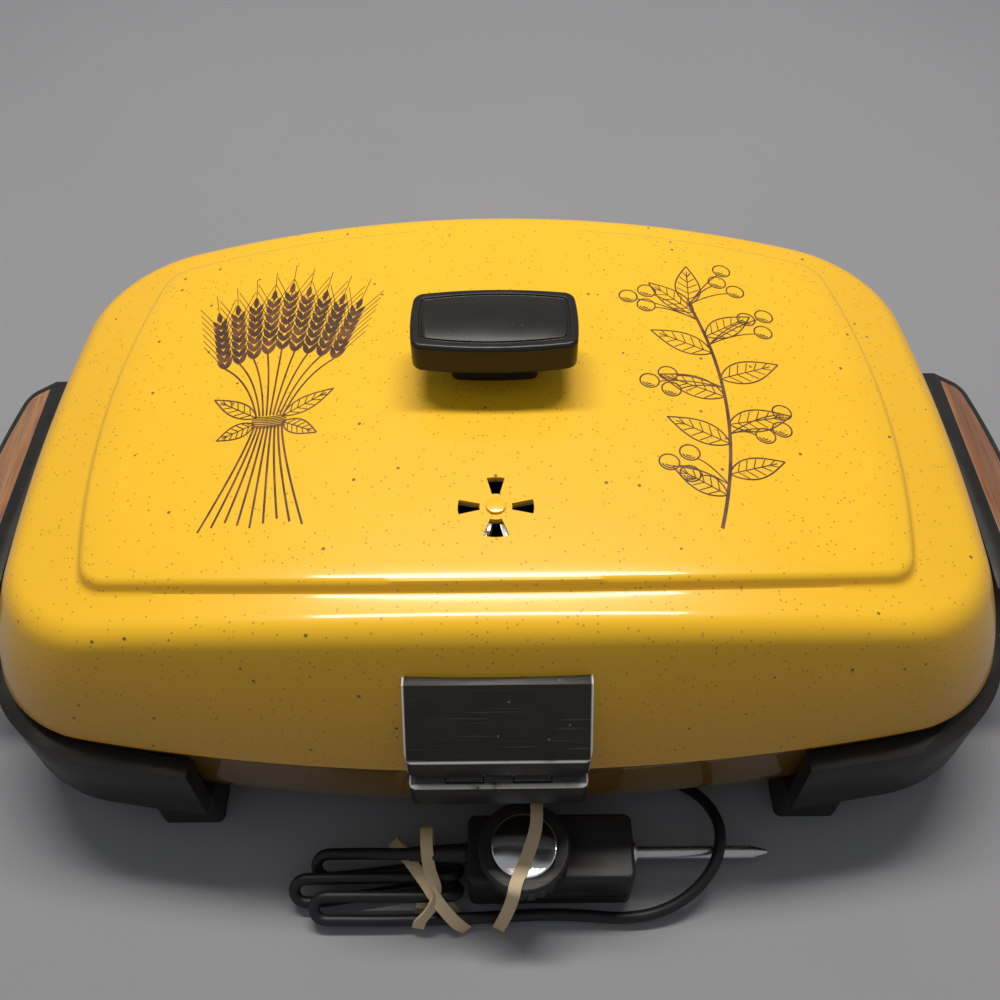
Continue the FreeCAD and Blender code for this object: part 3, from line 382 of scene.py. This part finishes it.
def lid_rings():
    base = rim_ring(1.0, 0.0)
    rings = []
    tops = []
    for p in base:
        z = ROOF_Z
        for _ in range(SETTLING_ROUNDS):
            z = ROOF_Z - drop(p.x * wall_scale(z))
        tops.append(z)
    for k in range(WALL_STEPS + 1):
        share = k / WALL_STEPS
        ring = []
        for p, top in zip(base, tops):
            z = LID_RIM_Z + (top - SHOULDER_REACH - LID_RIM_Z) * share
            s = wall_scale(z)
            ring.append((p.x * s, p.y * s, z))
        rings.append(ring)
    corner = [(p.x * wall_scale(z), p.y * wall_scale(z), z) for p, z in zip(base, tops)]
    inner = []
    for c, f in zip(corner, panel_ring(PANEL_FOOT, 0.0)):
        way = Vector((f[0] - c[0], f[1] - c[1]))
        way = way.normalized() * min(SHOULDER_REACH, way.length * SHOULDER_SHARE)
        x = c[0] + way.x
        y = c[1] + way.y
        inner.append((x, y, ROOF_Z - drop(x)))
    wall_end = rings[-1]
    for k in range(1, SHOULDER_STEPS + 1):
        t = k / SHOULDER_STEPS
        rings.append([blend_point(a, b, c, t) for a, b, c in zip(wall_end, corner, inner)])
    for grow, lift in PANEL_PROFILE:
        rings.append(panel_ring(grow, lift))
    for share in PANEL_TOP_SHARES:
        ring = []
        for p in bowed(*PANEL):
            x = p.x * share * PANEL_TOP_SCALE
            y = p.y * share * PANEL_TOP_SCALE
            ring.append((x, y, LID_TOP_Z - drop(x)))
        rings.append(ring)
    return rings


def slot_cutter(angle, half):
    """A cutter for one slot of the round vent."""
    inner, outer = VENT_R
    outline = []
    for r, order in ((outer, 1), (inner, -1)):
        for k in range(SLOT_STEPS + 1):
            a = math.radians(angle + order * half * (2 * k / SLOT_STEPS - 1))
            outline.append((r * math.cos(a), VENT_Y + r * math.sin(a)))
    return rings_piece("slot", [[(x, y, z) for x, y in outline] for z in SLOT_CUT_Z], True)


def cut(piece, cutters):
    for tool in cutters:
        hole = piece.modifiers.new("hole", "BOOLEAN")
        hole.operation = "DIFFERENCE"
        hole.solver = "EXACT"
        hole.object = tool
    bake_modifiers(piece)
    for tool in cutters:
        bpy.data.objects.remove(tool)


lid = rings_piece("lid", lid_rings())
shell = lid.modifiers.new("wall", "SOLIDIFY")
shell.thickness = LID_WALL * MM
shell.offset = -1.0
shell.use_even_offset = False
bake_modifiers(lid)
cut(lid, [slot_cutter(angle, half) for angle, half in VENT_SLOTS])
smooth(lid, 40)

enamel = Finish("gold_enamel", Roughness=0.36, Coat_Weight=0.45, Coat_Roughness=0.10,
                Specular_IOR_Level=0.3)
tone = enamel.noise(14.0, 2.0)
dots = enamel.specks(620.0, 0.16, 0.34)
pits = enamel.specks(260.0, 0.05, 0.22)
# The wall darkens to brown towards the rim: partly the enamel's own sprayed brown edge, partly painted
# shade.
skirt_brown_and_shade = 1.0 - enamel.axis("Z").between(SKIRT_LOW, SKIRT_HIGH)
gold = enamel.mix(tone, (0.80, 0.440, 0.010), (0.86, 0.490, 0.014))
gold = enamel.mix(skirt_brown_and_shade * 0.60, gold, (0.46, 0.185, 0.004))
gold = enamel.mix(dots * 0.62, gold, (0.30, 0.17, 0.02))
enamel.set("Base Color", enamel.mix(pits * 0.85, gold, (0.10, 0.05, 0.015)))
enamel.bump(enamel.noise(420.0, 2.0), 0.05)
lid.data.materials.append(enamel.material)
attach(lid, "lid")
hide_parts("lid_shell")


# Lid print: two kitchen motifs in dark brown line, fired over the enamel: a tied sheaf of
# wheat on the left and a leafy branch with round berries on the right.
PRINT_RISE = 0.03
PRINT_T = 0.06
BRISTLE = 11
GRAIN_LEAN = 0.42
BERRY_R = 3.7
print_mesh = bmesh.new()


def on_lid(x, y):
    """A point just over the lid's panel."""
    return at(x, y, LID_TOP_Z - drop(x) + PRINT_RISE)


def stroke(points, width):
    """A flat line of one width along points on the lid's panel."""
    flat = [Vector(p) for p in points]
    edges = []
    for k, p in enumerate(flat):
        way = (flat[min(k + 1, len(flat) - 1)] - flat[max(k - 1, 0)]).normalized()
        side = Vector((-way.y, way.x)) * width / 2
        edges.append([print_mesh.verts.new(on_lid(*edge)) for edge in (p - side, p + side)])
    for (a, b), (c, d) in zip(edges, edges[1:]):
        print_mesh.faces.new((a, c, d, b))


def patch(points):
    """A filled shape on the lid's panel."""
    print_mesh.faces.new([print_mesh.verts.new(on_lid(*p)) for p in points])


def bend(start, middle, end, steps=10):
    return [blend_point(start, middle, end, k / steps) for k in range(steps + 1)]


def leaf_edge(root, angle, length, width, steps=14):
    """The outline of a pointed leaf or grain that grows from root at an angle."""
    along = Vector((math.cos(angle), math.sin(angle)))
    aside = Vector((-along.y, along.x))
    sides = []
    for sign in (1, -1):
        sides.append([Vector(root) + along * length * k / steps
                      + aside * sign * width / 2 * math.sin(math.pi * (k / steps) ** 0.8)
                      for k in range(steps + 1)])
    return sides


def grain_of_wheat(root, angle):
    """A filled grain with a fine bristle at its tip."""
    left_side, right_side = leaf_edge(root, angle, 7.6, 2.3, 8)
    patch(left_side + right_side[-2:0:-1])
    tip = left_side[-1]
    stroke([tip, tip + BRISTLE * Vector((math.cos(angle), math.sin(angle)))], 0.28)


def ear_of_wheat(foot, tip):
    """An ear: grains to both sides of its stem and one at the tip."""
    way = tip - foot
    angle = math.atan2(way.y, way.x)
    for k in range(7):
        root = foot + way * k / 7
        for side in (-1, 1):
            grain_of_wheat(root, angle + side * GRAIN_LEAN)
    grain_of_wheat(tip, angle)


def leaf(root, angle, length, width):
    """A leaf in outline, with its middle rib and its side veins."""
    left_side, right_side = leaf_edge(root, angle, length, width)
    for side in (left_side, right_side):
        stroke(side, 0.6)
    spine = [(a + b) / 2 for a, b in zip(left_side, right_side)]
    stroke(spine[:-2], 0.45)
    for k in range(2, len(spine) - 3, 2):
        for side in (left_side, right_side):
            stroke([spine[k], spine[k] + (side[k + 2] - spine[k]) * 0.86], 0.4)


def berry(x, y, r):
    """A round berry: its outline and two short shading arcs inside it."""
    for share, first, last, width in ((1.0, 0, 21, 0.6), (0.74, 11, 18, 0.5), (0.48, 12, 17, 0.5)):
        turns = [2 * math.pi * k / 20 for k in range(first, last)]
        stroke([(x + r * share * math.cos(a), y + r * share * math.sin(a)) for a in turns], width)


SHEAF_TIE = Vector((-84.5, -14.0))
for spread in range(-4, 5):
    lean = spread * 5.4
    ear_foot = Vector((SHEAF_TIE.x + lean, 22.0 - 2.0 * abs(spread)))
    ear_tip = Vector((SHEAF_TIE.x + lean * 1.32, 56.0 - 3.4 * abs(spread)))
    stem_root = SHEAF_TIE + Vector((spread * 1.3, 0))
    stroke(bend(stem_root, (SHEAF_TIE.x + lean * 0.5, 6.0), ear_foot), 0.7)
    ear_of_wheat(ear_foot, ear_tip)
    low_end = (SHEAF_TIE.x + spread * 4.6, -64.0 - 1.6 * abs(abs(spread) - 2))
    low_root = SHEAF_TIE + Vector((spread * 1.3, -5))
    stroke(bend(low_root, (SHEAF_TIE.x + spread * 1.8, -34.0), low_end), 0.8)
for k in range(7):
    cord_y = SHEAF_TIE.y - 5.4 + k * 0.9
    ends = [(SHEAF_TIE.x + way * 6.6, cord_y) for way in (-1, 1)]
    stroke(bend(ends[0], (SHEAF_TIE.x, cord_y - 1.6), ends[1]), 0.5)
for turn, reach in ((2.55, 22.0), (0.60, 22.0), (3.6, 15.0), (5.82, 15.0)):
    leaf_root = (SHEAF_TIE.x + 6 * math.cos(turn), SHEAF_TIE.y - 2.5 + 3 * math.sin(turn))
    leaf(leaf_root, turn, reach, 7.0)

BRANCH = bend((77.0, -70.0), (96.0, -10.0), (80.0, 46.0), 24)
stroke(BRANCH, 1.3)
for step, turn, reach in ((3, 2.55, 22), (5, 0.35, 23), (8, 2.65, 25), (10, 0.28, 26), (13, 2.75, 26),
                          (15, 0.42, 27), (18, 2.7, 26), (20, 0.62, 25), (23, 2.35, 24), (24, 1.5, 25)):
    leaf(BRANCH[step], turn, reach, reach * 0.42)
BERRIES = ((4, ((70, -36), (62, -41), (69, -46))), (9, ((107, -21), (100, -25), (108.5, -12))),
           (14, ((66.5, 4.5), (59, 0), (67, -4))), (19, ((109, 33), (103, 40), (111, 43))),
           (22, ((62, 44), (55, 49), (63, 53))), (24, ((94, 62), (101, 57), (97, 70))))
for step, cluster in BERRIES:
    for x, y in cluster:
        centre = Vector((x, y))
        root = Vector(BRANCH[step])
        stalk_end = centre - (centre - root).normalized() * BERRY_R
        stroke(bend(root, (root + centre) / 2 + Vector((0, 3)), stalk_end), 0.5)
        berry(x, y, BERRY_R)
lid_print = piece_from(print_mesh, "lid_print")
body = lid_print.modifiers.new("body", "SOLIDIFY")
body.thickness = PRINT_T * MM
body.offset = 0.0
bake_modifiers(lid_print)
ink = Finish("brown_ink", Roughness=0.4, Coat_Weight=0.3)
fade = ink.noise(120.0, 3.0).between(0.42, 0.62)
ink.set("Base Color", ink.mix(fade, (0.060, 0.018, 0.006), (0.150, 0.050, 0.012)))
lid_print.data.materials.append(ink.material)
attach(lid_print, "lid")


# Pan: cast aluminium under the same enamel, darker and glossier, with a rounded lip that the
# lid stands over and the sheathed heater cast into a ridge under its floor.
PAN_BOTTOM_Z = 13.5
PAN_TOP_Z = 63.2
PAN_SCALES = (0.968, 0.988)
PAN_BOTTOM_R = 21.0
PAN_WALL = 3.2
FLOOR_EXTRA = 1.0
TUCK_STEPS = 8
OUTER_WALL_Z = (40.0, 46.0, 52.0, 57.0, 59.4)
INNER_WALL_Z = (58.0, 50.0, 42.0)
UNDERSIDE_SHARES = (0.04, 0.3, 0.6, 0.8)
FLOOR_SHARES = (0.8, 0.5, 0.2, 0.04)
# The rolled lip, from outside to inside: how far in from the rim, and the height.
LIP = ((1.9, 59.85), (1.35, 60.3), (1.2, 61.2), (1.2, 62.2), (1.5, 62.9), (2.3, 63.2), (4.4, 63.2),
       (5.2, 62.9), (5.5, 62.2))
# The heater's ridge: half its length and width, its corner radius, its height and its own radius.
RIDGE = (118.0, 66.0, 34.0, 13.4, 6.4)
RIDGE_END_Y = 22.0
RIDGE_CORNER_STEPS = 12


def pan_scale(z):
    """How large the pan's wall is at a height, against the lid's rim."""
    low, high = PAN_SCALES
    start = PAN_BOTTOM_Z + PAN_BOTTOM_R
    return low + (high - low) * max(z - start, 0) / (PAN_TOP_Z - start)


def flat_ring(scale, inset, z):
    return [(p.x, p.y, z) for p in rim_ring(scale, inset)]


def tucked_ring(step, radius, z_low, inset):
    """One ring of the round bend between the pan's wall and its floor."""
    turn = math.radians(90 * step / TUCK_STEPS)
    tuck = radius * (1 - math.sin(turn))
    return flat_ring(PAN_SCALES[0], inset + tuck, z_low + radius * (1 - math.cos(turn)))


def pan_rings():
    rings = [flat_ring(PAN_SCALES[0] * share, 0, PAN_BOTTOM_Z) for share in UNDERSIDE_SHARES]
    for k in range(TUCK_STEPS + 1):
        rings.append(tucked_ring(k, PAN_BOTTOM_R, PAN_BOTTOM_Z, 0))
    rings += [flat_ring(pan_scale(z), 0, z) for z in OUTER_WALL_Z]
    rings += [flat_ring(1.0, inset, z) for inset, z in LIP]
    rings += [flat_ring(pan_scale(z), PAN_WALL, z) for z in INNER_WALL_Z]
    floor_z = PAN_BOTTOM_Z + PAN_WALL + FLOOR_EXTRA
    for k in range(TUCK_STEPS, -1, -1):
        rings.append(tucked_ring(k, PAN_BOTTOM_R - PAN_WALL, floor_z, PAN_WALL))
    rings += [flat_ring(PAN_SCALES[0] * share, 0, floor_z) for share in FLOOR_SHARES]
    return rings


def ridge_line():
    hx, hy, r, z, _ = RIDGE
    line = [(-hx, -RIDGE_END_Y, z)]
    for cx, cy, start in ((-hx + r, -hy + r, 180), (hx - r, -hy + r, 270), (hx - r, hy - r, 0),
                          (-hx + r, hy - r, 90)):
        for k in range(RIDGE_CORNER_STEPS + 1):
            a = math.radians(start + 90 * k / RIDGE_CORNER_STEPS)
            line.append((cx + r * math.cos(a), cy + r * math.sin(a), z))
    line.append((-hx, RIDGE_END_Y, z))
    return line


def bar_piece(name, line, radius, sides=20):
    """A round bar swept along points, with closed ends."""
    pts = [Vector(p) for p in line]
    rings = []
    for k, p in enumerate(pts):
        way = (pts[min(k + 1, len(pts) - 1)] - pts[max(k - 1, 0)]).normalized()
        side = way.cross(Vector((0, 0, 1))).normalized()
        top = side.cross(way)
        rings.append([tuple(p + radius * (math.cos(a) * side + math.sin(a) * top))
                      for a in (2 * math.pi * s / sides for s in range(sides))])
    return rings_piece(name, rings, True)


def join(pieces, name):
    """The pieces as one, under a name."""
    for piece in bpy.context.selected_objects:
        piece.select_set(False)
    for piece in pieces:
        piece.select_set(True)
    bpy.context.view_layer.objects.active = pieces[0]
    bpy.ops.object.join()
    pieces[0].select_set(False)
    pieces[0].name = name
    return pieces[0]


bowl = rings_piece("pan_bowl", pan_rings(), True)
ridge = bar_piece("ridge", ridge_line(), RIDGE[-1])
pan = join([bowl, ridge], "pan")
smooth(pan, 50)

pan_coat = Finish("pan_enamel", Roughness=0.16, Coat_Weight=0.8, Coat_Roughness=0.05)
cloud = pan_coat.noise(22.0, 3.0)
grey = pan_coat.specks(520.0, 0.12, 0.3)
brown = pan_coat.mix(cloud, (0.150, 0.078, 0.012), (0.200, 0.108, 0.018))
pan_coat.set("Base Color", pan_coat.mix(grey * 0.5, brown, (0.10, 0.06, 0.02)))
pan_coat.bump(pan_coat.noise(160.0, 2.0), 0.04)
pan.data.materials.append(pan_coat.material)
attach(pan, "base")
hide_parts("pan_shell")


# End frames: black phenolic mouldings that carry the feet, the handles and the socket. They are
# screwed to the pan's ends; the faces are satin with pale dust in the pores.
WELD_DISTANCE = 0.000005
FLAT_ENOUGH = math.radians(0.6)
EDGE_ANGLE = math.radians(32.0)


def dressed(node, body, finish, width):
    """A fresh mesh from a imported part, its edges rounded by a width so that they catch light."""
    source = bpy.data.objects[node]
    data = source.data.copy()
    data.materials.clear()
    piece = new_piece(node + "_look", data)
    piece.matrix_world = source.matrix_world
    mesh = bmesh.new()
    mesh.from_mesh(data)
    bmesh.ops.remove_doubles(mesh, verts=mesh.verts, dist=WELD_DISTANCE)
    bmesh.ops.dissolve_limit(mesh, angle_limit=FLAT_ENOUGH, verts=mesh.verts, edges=mesh.edges)
    mesh.to_mesh(data)
    mesh.free()
    if width:
        soft = piece.modifiers.new("soft_edges", "BEVEL")
        soft.width = width * MM
        soft.segments = 2
        soft.limit_method = "ANGLE"
        soft.angle_limit = EDGE_ANGLE
        soft.harden_normals = False
        bake_modifiers(piece)
    smooth(piece, 40)
    piece.data.materials.append(finish.material)
    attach(piece, body)
    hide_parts(node)


phenolic = Finish("black_phenolic", Roughness=0.38, Specular_IOR_Level=0.22)
mottle = phenolic.noise(60.0, 4.0)
dust = phenolic.specks(380.0, 0.10, 0.16)
black = phenolic.mix(mottle, (0.010, 0.010, 0.009), (0.022, 0.021, 0.018))
phenolic.set("Base Color", phenolic.mix(dust * 0.35, black, (0.12, 0.11, 0.09)))
phenolic.set("Roughness", mottle.between(0.3, 0.7) * 0.14 + 0.32)
phenolic.bump(phenolic.noise(700.0, 2.0), 0.05)

bright = Finish("bright_steel", Metallic=1.0, Base_Color=(0.62, 0.62, 0.63))
bright.set("Roughness", bright.noise(300.0) * 0.2 + 0.18)

for side in ("left", "right"):
    dressed(side + "_end_frame", "base", phenolic, 0.6)
dressed("frame_screws", "base", bright, 0.15)


# Handle inlays: strips of lacquered walnut let into the top of each handle, with the grain
# running along the handle. The left strip is painted paler as lit, the right darker as shaded.
def wood(name, light, dark):
    """A walnut of two tones, with fine darker pores along the grain."""
    finish = Finish(name, Roughness=0.42, Coat_Weight=0.25, Coat_Roughness=0.25)
    long_way = finish.stretched(26.0, 2.2, 26.0)
    figure = finish.noise(3.4, 4.0, 0.6, long_way)
    fine = finish.noise(1.0, 3.0, 0.6, finish.stretched(900.0, 42.0, 900.0))
    body = finish.mix(figure.between(0.32, 0.68), dark, light)
    pores = fine.between(0.50, 0.68)
    finish.set("Base Color", finish.mix(pores * 0.55, body, tuple(c * 0.42 for c in dark)))
    finish.set("Roughness", fine * 0.2 + 0.34)
    finish.bump(fine, 0.08)
    return finish


# Painted light and shade: one walnut, a paler lit copy on the left and a darker shaded copy on the
# right.
walnut_left_painted_lit = wood("walnut_left_painted_lit", (0.40, 0.190, 0.075), (0.245, 0.100, 0.036))
walnut_right_painted_shade = wood("walnut_right_painted_shade", (0.34, 0.145, 0.055), (0.200, 0.075, 0.026))
dressed("left_wood_inlay", "base", walnut_left_painted_lit, 0.25)
dressed("right_wood_inlay", "base", walnut_right_painted_shade, 0.25)


# Hinge: two phenolic brackets riveted to the lid and the pan, pale grey along their edges, partly
# from wear and partly as a painted highlight, and scratched on the face, turning on a steel pin.
BRACKET_FRONT_Y = -135.2
PLATE_EDGE_Z = 86.3
LEDGE_EDGE_Z = 66.2
# Where the edges of the brackets are painted pale, partly as wear and partly as a painted
# highlight, in metres as the shader sees them.
EDGE_LINE = (0.0002, 0.0009)
FRONT_REACH = (0.0008, 0.0020)
SIDE_EDGE_X = (0.0303, 0.0309)
SIDE_FROM_Z = 0.0640
worn_and_highlit = Finish("worn_and_highlit_phenolic", Roughness=0.42, Specular_IOR_Level=0.25)
scratch = worn_and_highlit.noise(1.0, 2.0, 0.5, worn_and_highlit.stretched(30.0, 1400.0, 900.0)).between(0.62, 0.70)
rub = worn_and_highlit.noise(90.0, 5.0, 0.65)
face = worn_and_highlit.mix(rub, (0.010, 0.010, 0.009), (0.026, 0.024, 0.021))
chips = worn_and_highlit.specks(300.0, 0.10, 0.16)
face = worn_and_highlit.mix(scratch * 0.22, face, (0.16, 0.14, 0.12))
face = worn_and_highlit.mix(chips * 0.35, face, (0.30, 0.28, 0.24))
high = worn_and_highlit.axis("Z")
rim_line = 0.0
for edge_z in (PLATE_EDGE_Z, LEDGE_EDGE_Z):
    rim_line = rim_line + (1.0 - (high - edge_z * MM).math("ABSOLUTE").between(*EDGE_LINE))
front_y = BRACKET_FRONT_Y * MM + SHIFT_Y
front = 1.0 - worn_and_highlit.axis("Y").between(*(front_y + reach for reach in FRONT_REACH))
side_edges = worn_and_highlit.axis("X").math("ABSOLUTE").between(*SIDE_EDGE_X) * (high > SIDE_FROM_Z)
# The pale edges: partly rubbed wear, partly a painted highlight along the lit front and side edges.
worn_and_highlit_edge = (rim_line * front).math("MAXIMUM", side_edges * 0.7) * rub.between(0.25, 0.45)
worn_and_highlit.set("Base Color", worn_and_highlit.mix(worn_and_highlit_edge, face, (0.75, 0.73, 0.68)))
worn_and_highlit.set("Roughness", rub * 0.25 + 0.30)
worn_and_highlit.bump(scratch, 0.1)
dressed("lid_hinge_bracket", "lid", worn_and_highlit, 0.7)
dressed("pan_hinge_bracket", "base", worn_and_highlit, 0.7)
dressed("lid_bracket_rivets", "lid", bright, 0.12)
dressed("pan_bracket_rivets", "base", bright, 0.12)
dressed("hinge_pin", "base", bright, 0.2)


# Lid knob: a moulded black phenolic bar on a short pedestal. A steel screw with a washer holds
# both from inside the lid.
gloss_black = Finish("knob_black", Roughness=0.26, Specular_IOR_Level=0.25)
bloom = gloss_black.noise(45.0, 4.0)
lint = gloss_black.specks(300.0, 0.12, 0.12)
tint = gloss_black.mix(bloom, (0.010, 0.010, 0.010), (0.020, 0.019, 0.017))
gloss_black.set("Base Color", gloss_black.mix(lint * 0.4, tint, (0.16, 0.15, 0.12)))
gloss_black.set("Roughness", bloom * 0.16 + 0.20)
dressed("knob", "lid", gloss_black, 0.25)
dressed("knob_pedestal", "lid", gloss_black, 0.5)
dressed("knob_washer", "lid", bright, 0.1)
dressed("knob_screw", "lid", bright, 0.1)


# Steam vent: a thin slotted steel disc under the lid, turned by a small lug through the front
# slot. It turns on a domed rivet that carries the lid's enamel.
satin = Finish("satin_steel", Metallic=1.0, Base_Color=(0.50, 0.49, 0.46))
satin.set("Roughness", satin.noise(200.0) * 0.2 + 0.3)
dressed("vent_shutter", "shutter", satin, 0.08)
dressed("vent_rivet", "lid", enamel, 0.3)


# Heater, its pins and the sensor well, seen only from below: aluminium over the sheathed wire,
# steel pins in white ceramic, a thin steel guard.
cast = Finish("plain_aluminium", Metallic=1.0, Base_Color=(0.55, 0.55, 0.56))
cast.set("Roughness", cast.noise(120.0) * 0.25 + 0.35)
china = Finish("white_ceramic", Roughness=0.35)
china.set("Base Color", china.mix(china.noise(90.0), (0.72, 0.70, 0.64), (0.80, 0.78, 0.73)))
dressed("heating_element", "base", satin, 0.0)
dressed("sensor_well", "base", cast, 0.2)
dressed("terminal_pins", "base", bright, 0.2)
dressed("terminal_insulators", "base", china, 0.2)
dressed("terminal_guard", "base", satin, 0.1)


# Heat control: two black plastic shells screwed together round the thermostat, with the probe
# out of one end, the cord out of the other, and a fluted dial with a chrome cap on top.
shell_black = Finish("control_black", Roughness=0.4, Specular_IOR_Level=0.2)
cast_mark = shell_black.noise(70.0, 4.0)
shell_black.set("Base Color", shell_black.mix(cast_mark, (0.011, 0.011, 0.011), (0.024, 0.023, 0.022)))
shell_black.set("Roughness", cast_mark * 0.2 + 0.30)
chrome = Finish("chrome", Metallic=1.0, Base_Color=(0.78, 0.78, 0.79))
chrome.set("Roughness", chrome.noise(240.0) * 0.1 + 0.06)
brass = Finish("brass", Metallic=1.0, Base_Color=(0.70, 0.50, 0.20))
brass.set("Roughness", brass.noise(200.0) * 0.2 + 0.25)
dressed("control_bottom_shell", "heat_control", shell_black, 0.3)
dressed("control_top_shell", "heat_control", shell_black, 0.3)
dressed("control_screws", "heat_control", bright, 0.1)
dressed("strain_relief", "heat_control", rubber, 0.2)
dressed("probe_rod", "heat_control", bright, 0.1)
dressed("probe_collar", "heat_control", bright, 0.15)
dressed("thermostat_frame", "heat_control", satin, 0.0)
dressed("bimetal_strip", "heat_control", brass, 0.0)
dressed("contact_arm", "heat_control", brass, 0.0)
dressed("contact_clips", "heat_control", brass, 0.0)
dressed("dial_knob", "dial", shell_black, 0.25)
dressed("dial_shaft", "dial", satin, 0.0)
dressed("dial_cap", "dial", chrome, 0.2)
dressed("plug_body", "heat_control", shell_black, 0.5)
dressed("plug_blades", "heat_control", brass, 0.15)


# Rubber bands: flat tan bands, cut from a rubber tube and aged dull. One goes slantwise round the
# hank, one upright round the hank's end, and one over the dial and round the whole control.
tan = Finish("tan_rubber", Roughness=0.62)
age = tan.noise(120.0, 4.0)
tan.set("Base Color", tan.mix(age, (0.50, 0.36, 0.20), (0.66, 0.51, 0.32)))
tan.bump(tan.noise(500.0), 0.1)
BAND_WIDTH = 4.6
BAND_THICK = 0.9
BAND_LEAST_Y = -164.3
BAND_LEAST_Z = 0.1
BAND_CORNERS = ((-1, -1), (1, -1), (1, 1), (-1, 1))
UPRIGHT = [(-27.7, -130.2, 12.0), (-27.7, -131.6, 22.0), (-27.6, -135.0, 25.0), (-27.3, -141.0, 24.2),
           (-26.4, -146.4, 18.6), (-24.2, -152.4, 14.6), (-25.0, -158.0, 13.0), (-30.0, -161.8, 7.0),
           (-31.0, -161.4, 1.4), (-29.0, -146.0, 0.7), (-28.0, -132.0, 0.8)]
DIAGONAL = [(-40.6, -131.6, 9.0), (-40.2, -135.8, 15.0), (-34.6, -141.7, 15.6), (-28.2, -149.9, 15.4),
            (-23.6, -156.2, 13.6), (-18.0, -161.2, 7.8), (-13.0, -163.4, 1.8), (-15.0, -160.0, 0.7),
            (-28.0, -145.0, 0.7), (-38.5, -133.0, 0.9)]
OVER_DIAL = [(14.2, -127.0, 20.0), (14.2, -127.4, 33.0), (14.0, -130.0, 37.6), (13.2, -139.0, 37.9),
             (9.4, -150.0, 37.7), (6.0, -157.6, 37.2), (4.6, -161.8, 33.0), (2.6, -162.2, 18.0),
             (-0.6, -163.2, 3.0), (0.6, -161.0, 0.7), (8.0, -144.0, 0.6), (13.6, -129.4, 0.8)]


def round_loop(points, steps=8):
    """A smooth closed line through the points."""
    pts = [Vector(p) for p in points]
    line = []
    for k, p in enumerate(pts):
        before = pts[k - 1]
        after = pts[(k + 1) % len(pts)]
        far = pts[(k + 2) % len(pts)]
        for step in range(steps):
            t = step / steps
            line.append(0.5 * (2 * p + (after - before) * t
                               + (2 * before - 5 * p + 4 * after - far) * t * t
                               + (3 * p - before - 3 * after + far) * t ** 3))
    return line


def flat_band(name, points, node=None):
    """A flat band along a closed line. It stays over the table and behind the part's front."""
    line = round_loop(points)
    mesh = bmesh.new()
    rows = []
    middle = sum(line, Vector()) / len(line)
    for k, p in enumerate(line):
        way = (line[(k + 1) % len(line)] - line[k - 1]).normalized()
        outward = p - middle
        outward = (outward - way * outward.dot(way)).normalized()
        side = way.cross(outward)
        row = []
        for u, v in BAND_CORNERS:
            x, y, z = p + side * BAND_WIDTH / 2 * u + outward * BAND_THICK / 2 * v
            row.append(mesh.verts.new(at(x, max(y, BAND_LEAST_Y), max(z, BAND_LEAST_Z))))
        rows.append(row)
    for low, high in zip(rows, rows[1:] + rows[:1]):
        for k in range(4):
            nxt = (k + 1) % 4
            mesh.faces.new((low[k], low[nxt], high[nxt], high[k]))
    piece = piece_from(mesh, name)
    smooth(piece, 40)
    piece.data.materials.append(tan.material)
    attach(piece, "heat_control")
    if node:
        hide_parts(node)


flat_band("band_diagonal", DIAGONAL, "rubber_band_left")
flat_band("band_upright", UPRIGHT)
flat_band("band_over_dial", OVER_DIAL, "rubber_band_right")


# Floor and light: a plain grey sheet for the table, one long soft lamp above and behind, and the
# even light of the room.
FLOOR_SIZE = 3.0
LAMP_AT = Vector((0.0, 0.36, 1.30))
LAMP_AIM = Vector((0.0, 0.0, 0.1))
LAMP_SIZE = (1.0, 0.13)
LAMP_WATTS = 18.0
LAMP_COLOUR = (1.0, 0.975, 0.94)
ROOM_COLOUR = (0.80, 0.82, 0.85)
ROOM_STRENGTH = 0.36
floor_mesh = bmesh.new()
bmesh.ops.create_grid(floor_mesh, x_segments=1, y_segments=1, size=FLOOR_SIZE)
floor_data = bpy.data.meshes.new("floor")
floor_mesh.to_mesh(floor_data)
floor_mesh.free()
floor = new_piece("floor", floor_data)
floor_finish = Finish("floor_grey", Roughness=0.75)
patchy = floor_finish.noise(6.0)
floor_finish.set("Base Color", floor_finish.mix(patchy, (0.235, 0.235, 0.245), (0.26, 0.26, 0.27)))
floor.data.materials.append(floor_finish.material)

light = bpy.data.lights.new("above", "AREA")
light.shape = "RECTANGLE"
light.size, light.size_y = LAMP_SIZE
light.energy = LAMP_WATTS
light.color = LAMP_COLOUR
lamp = bpy.data.objects.new("above", light)
bpy.context.collection.objects.link(lamp)
lamp.location = LAMP_AT
lamp.rotation_euler = (LAMP_AT - LAMP_AIM).to_track_quat("Z", "Y").to_euler()
world = bpy.data.worlds.new("room")
world.use_nodes = True
sky = world.node_tree.nodes["Background"]
sky.inputs["Color"].default_value = opaque(ROOM_COLOUR)
sky.inputs["Strength"].default_value = ROOM_STRENGTH
bpy.context.scene.world = world
bpy.context.scene.view_settings.view_transform = "Standard"
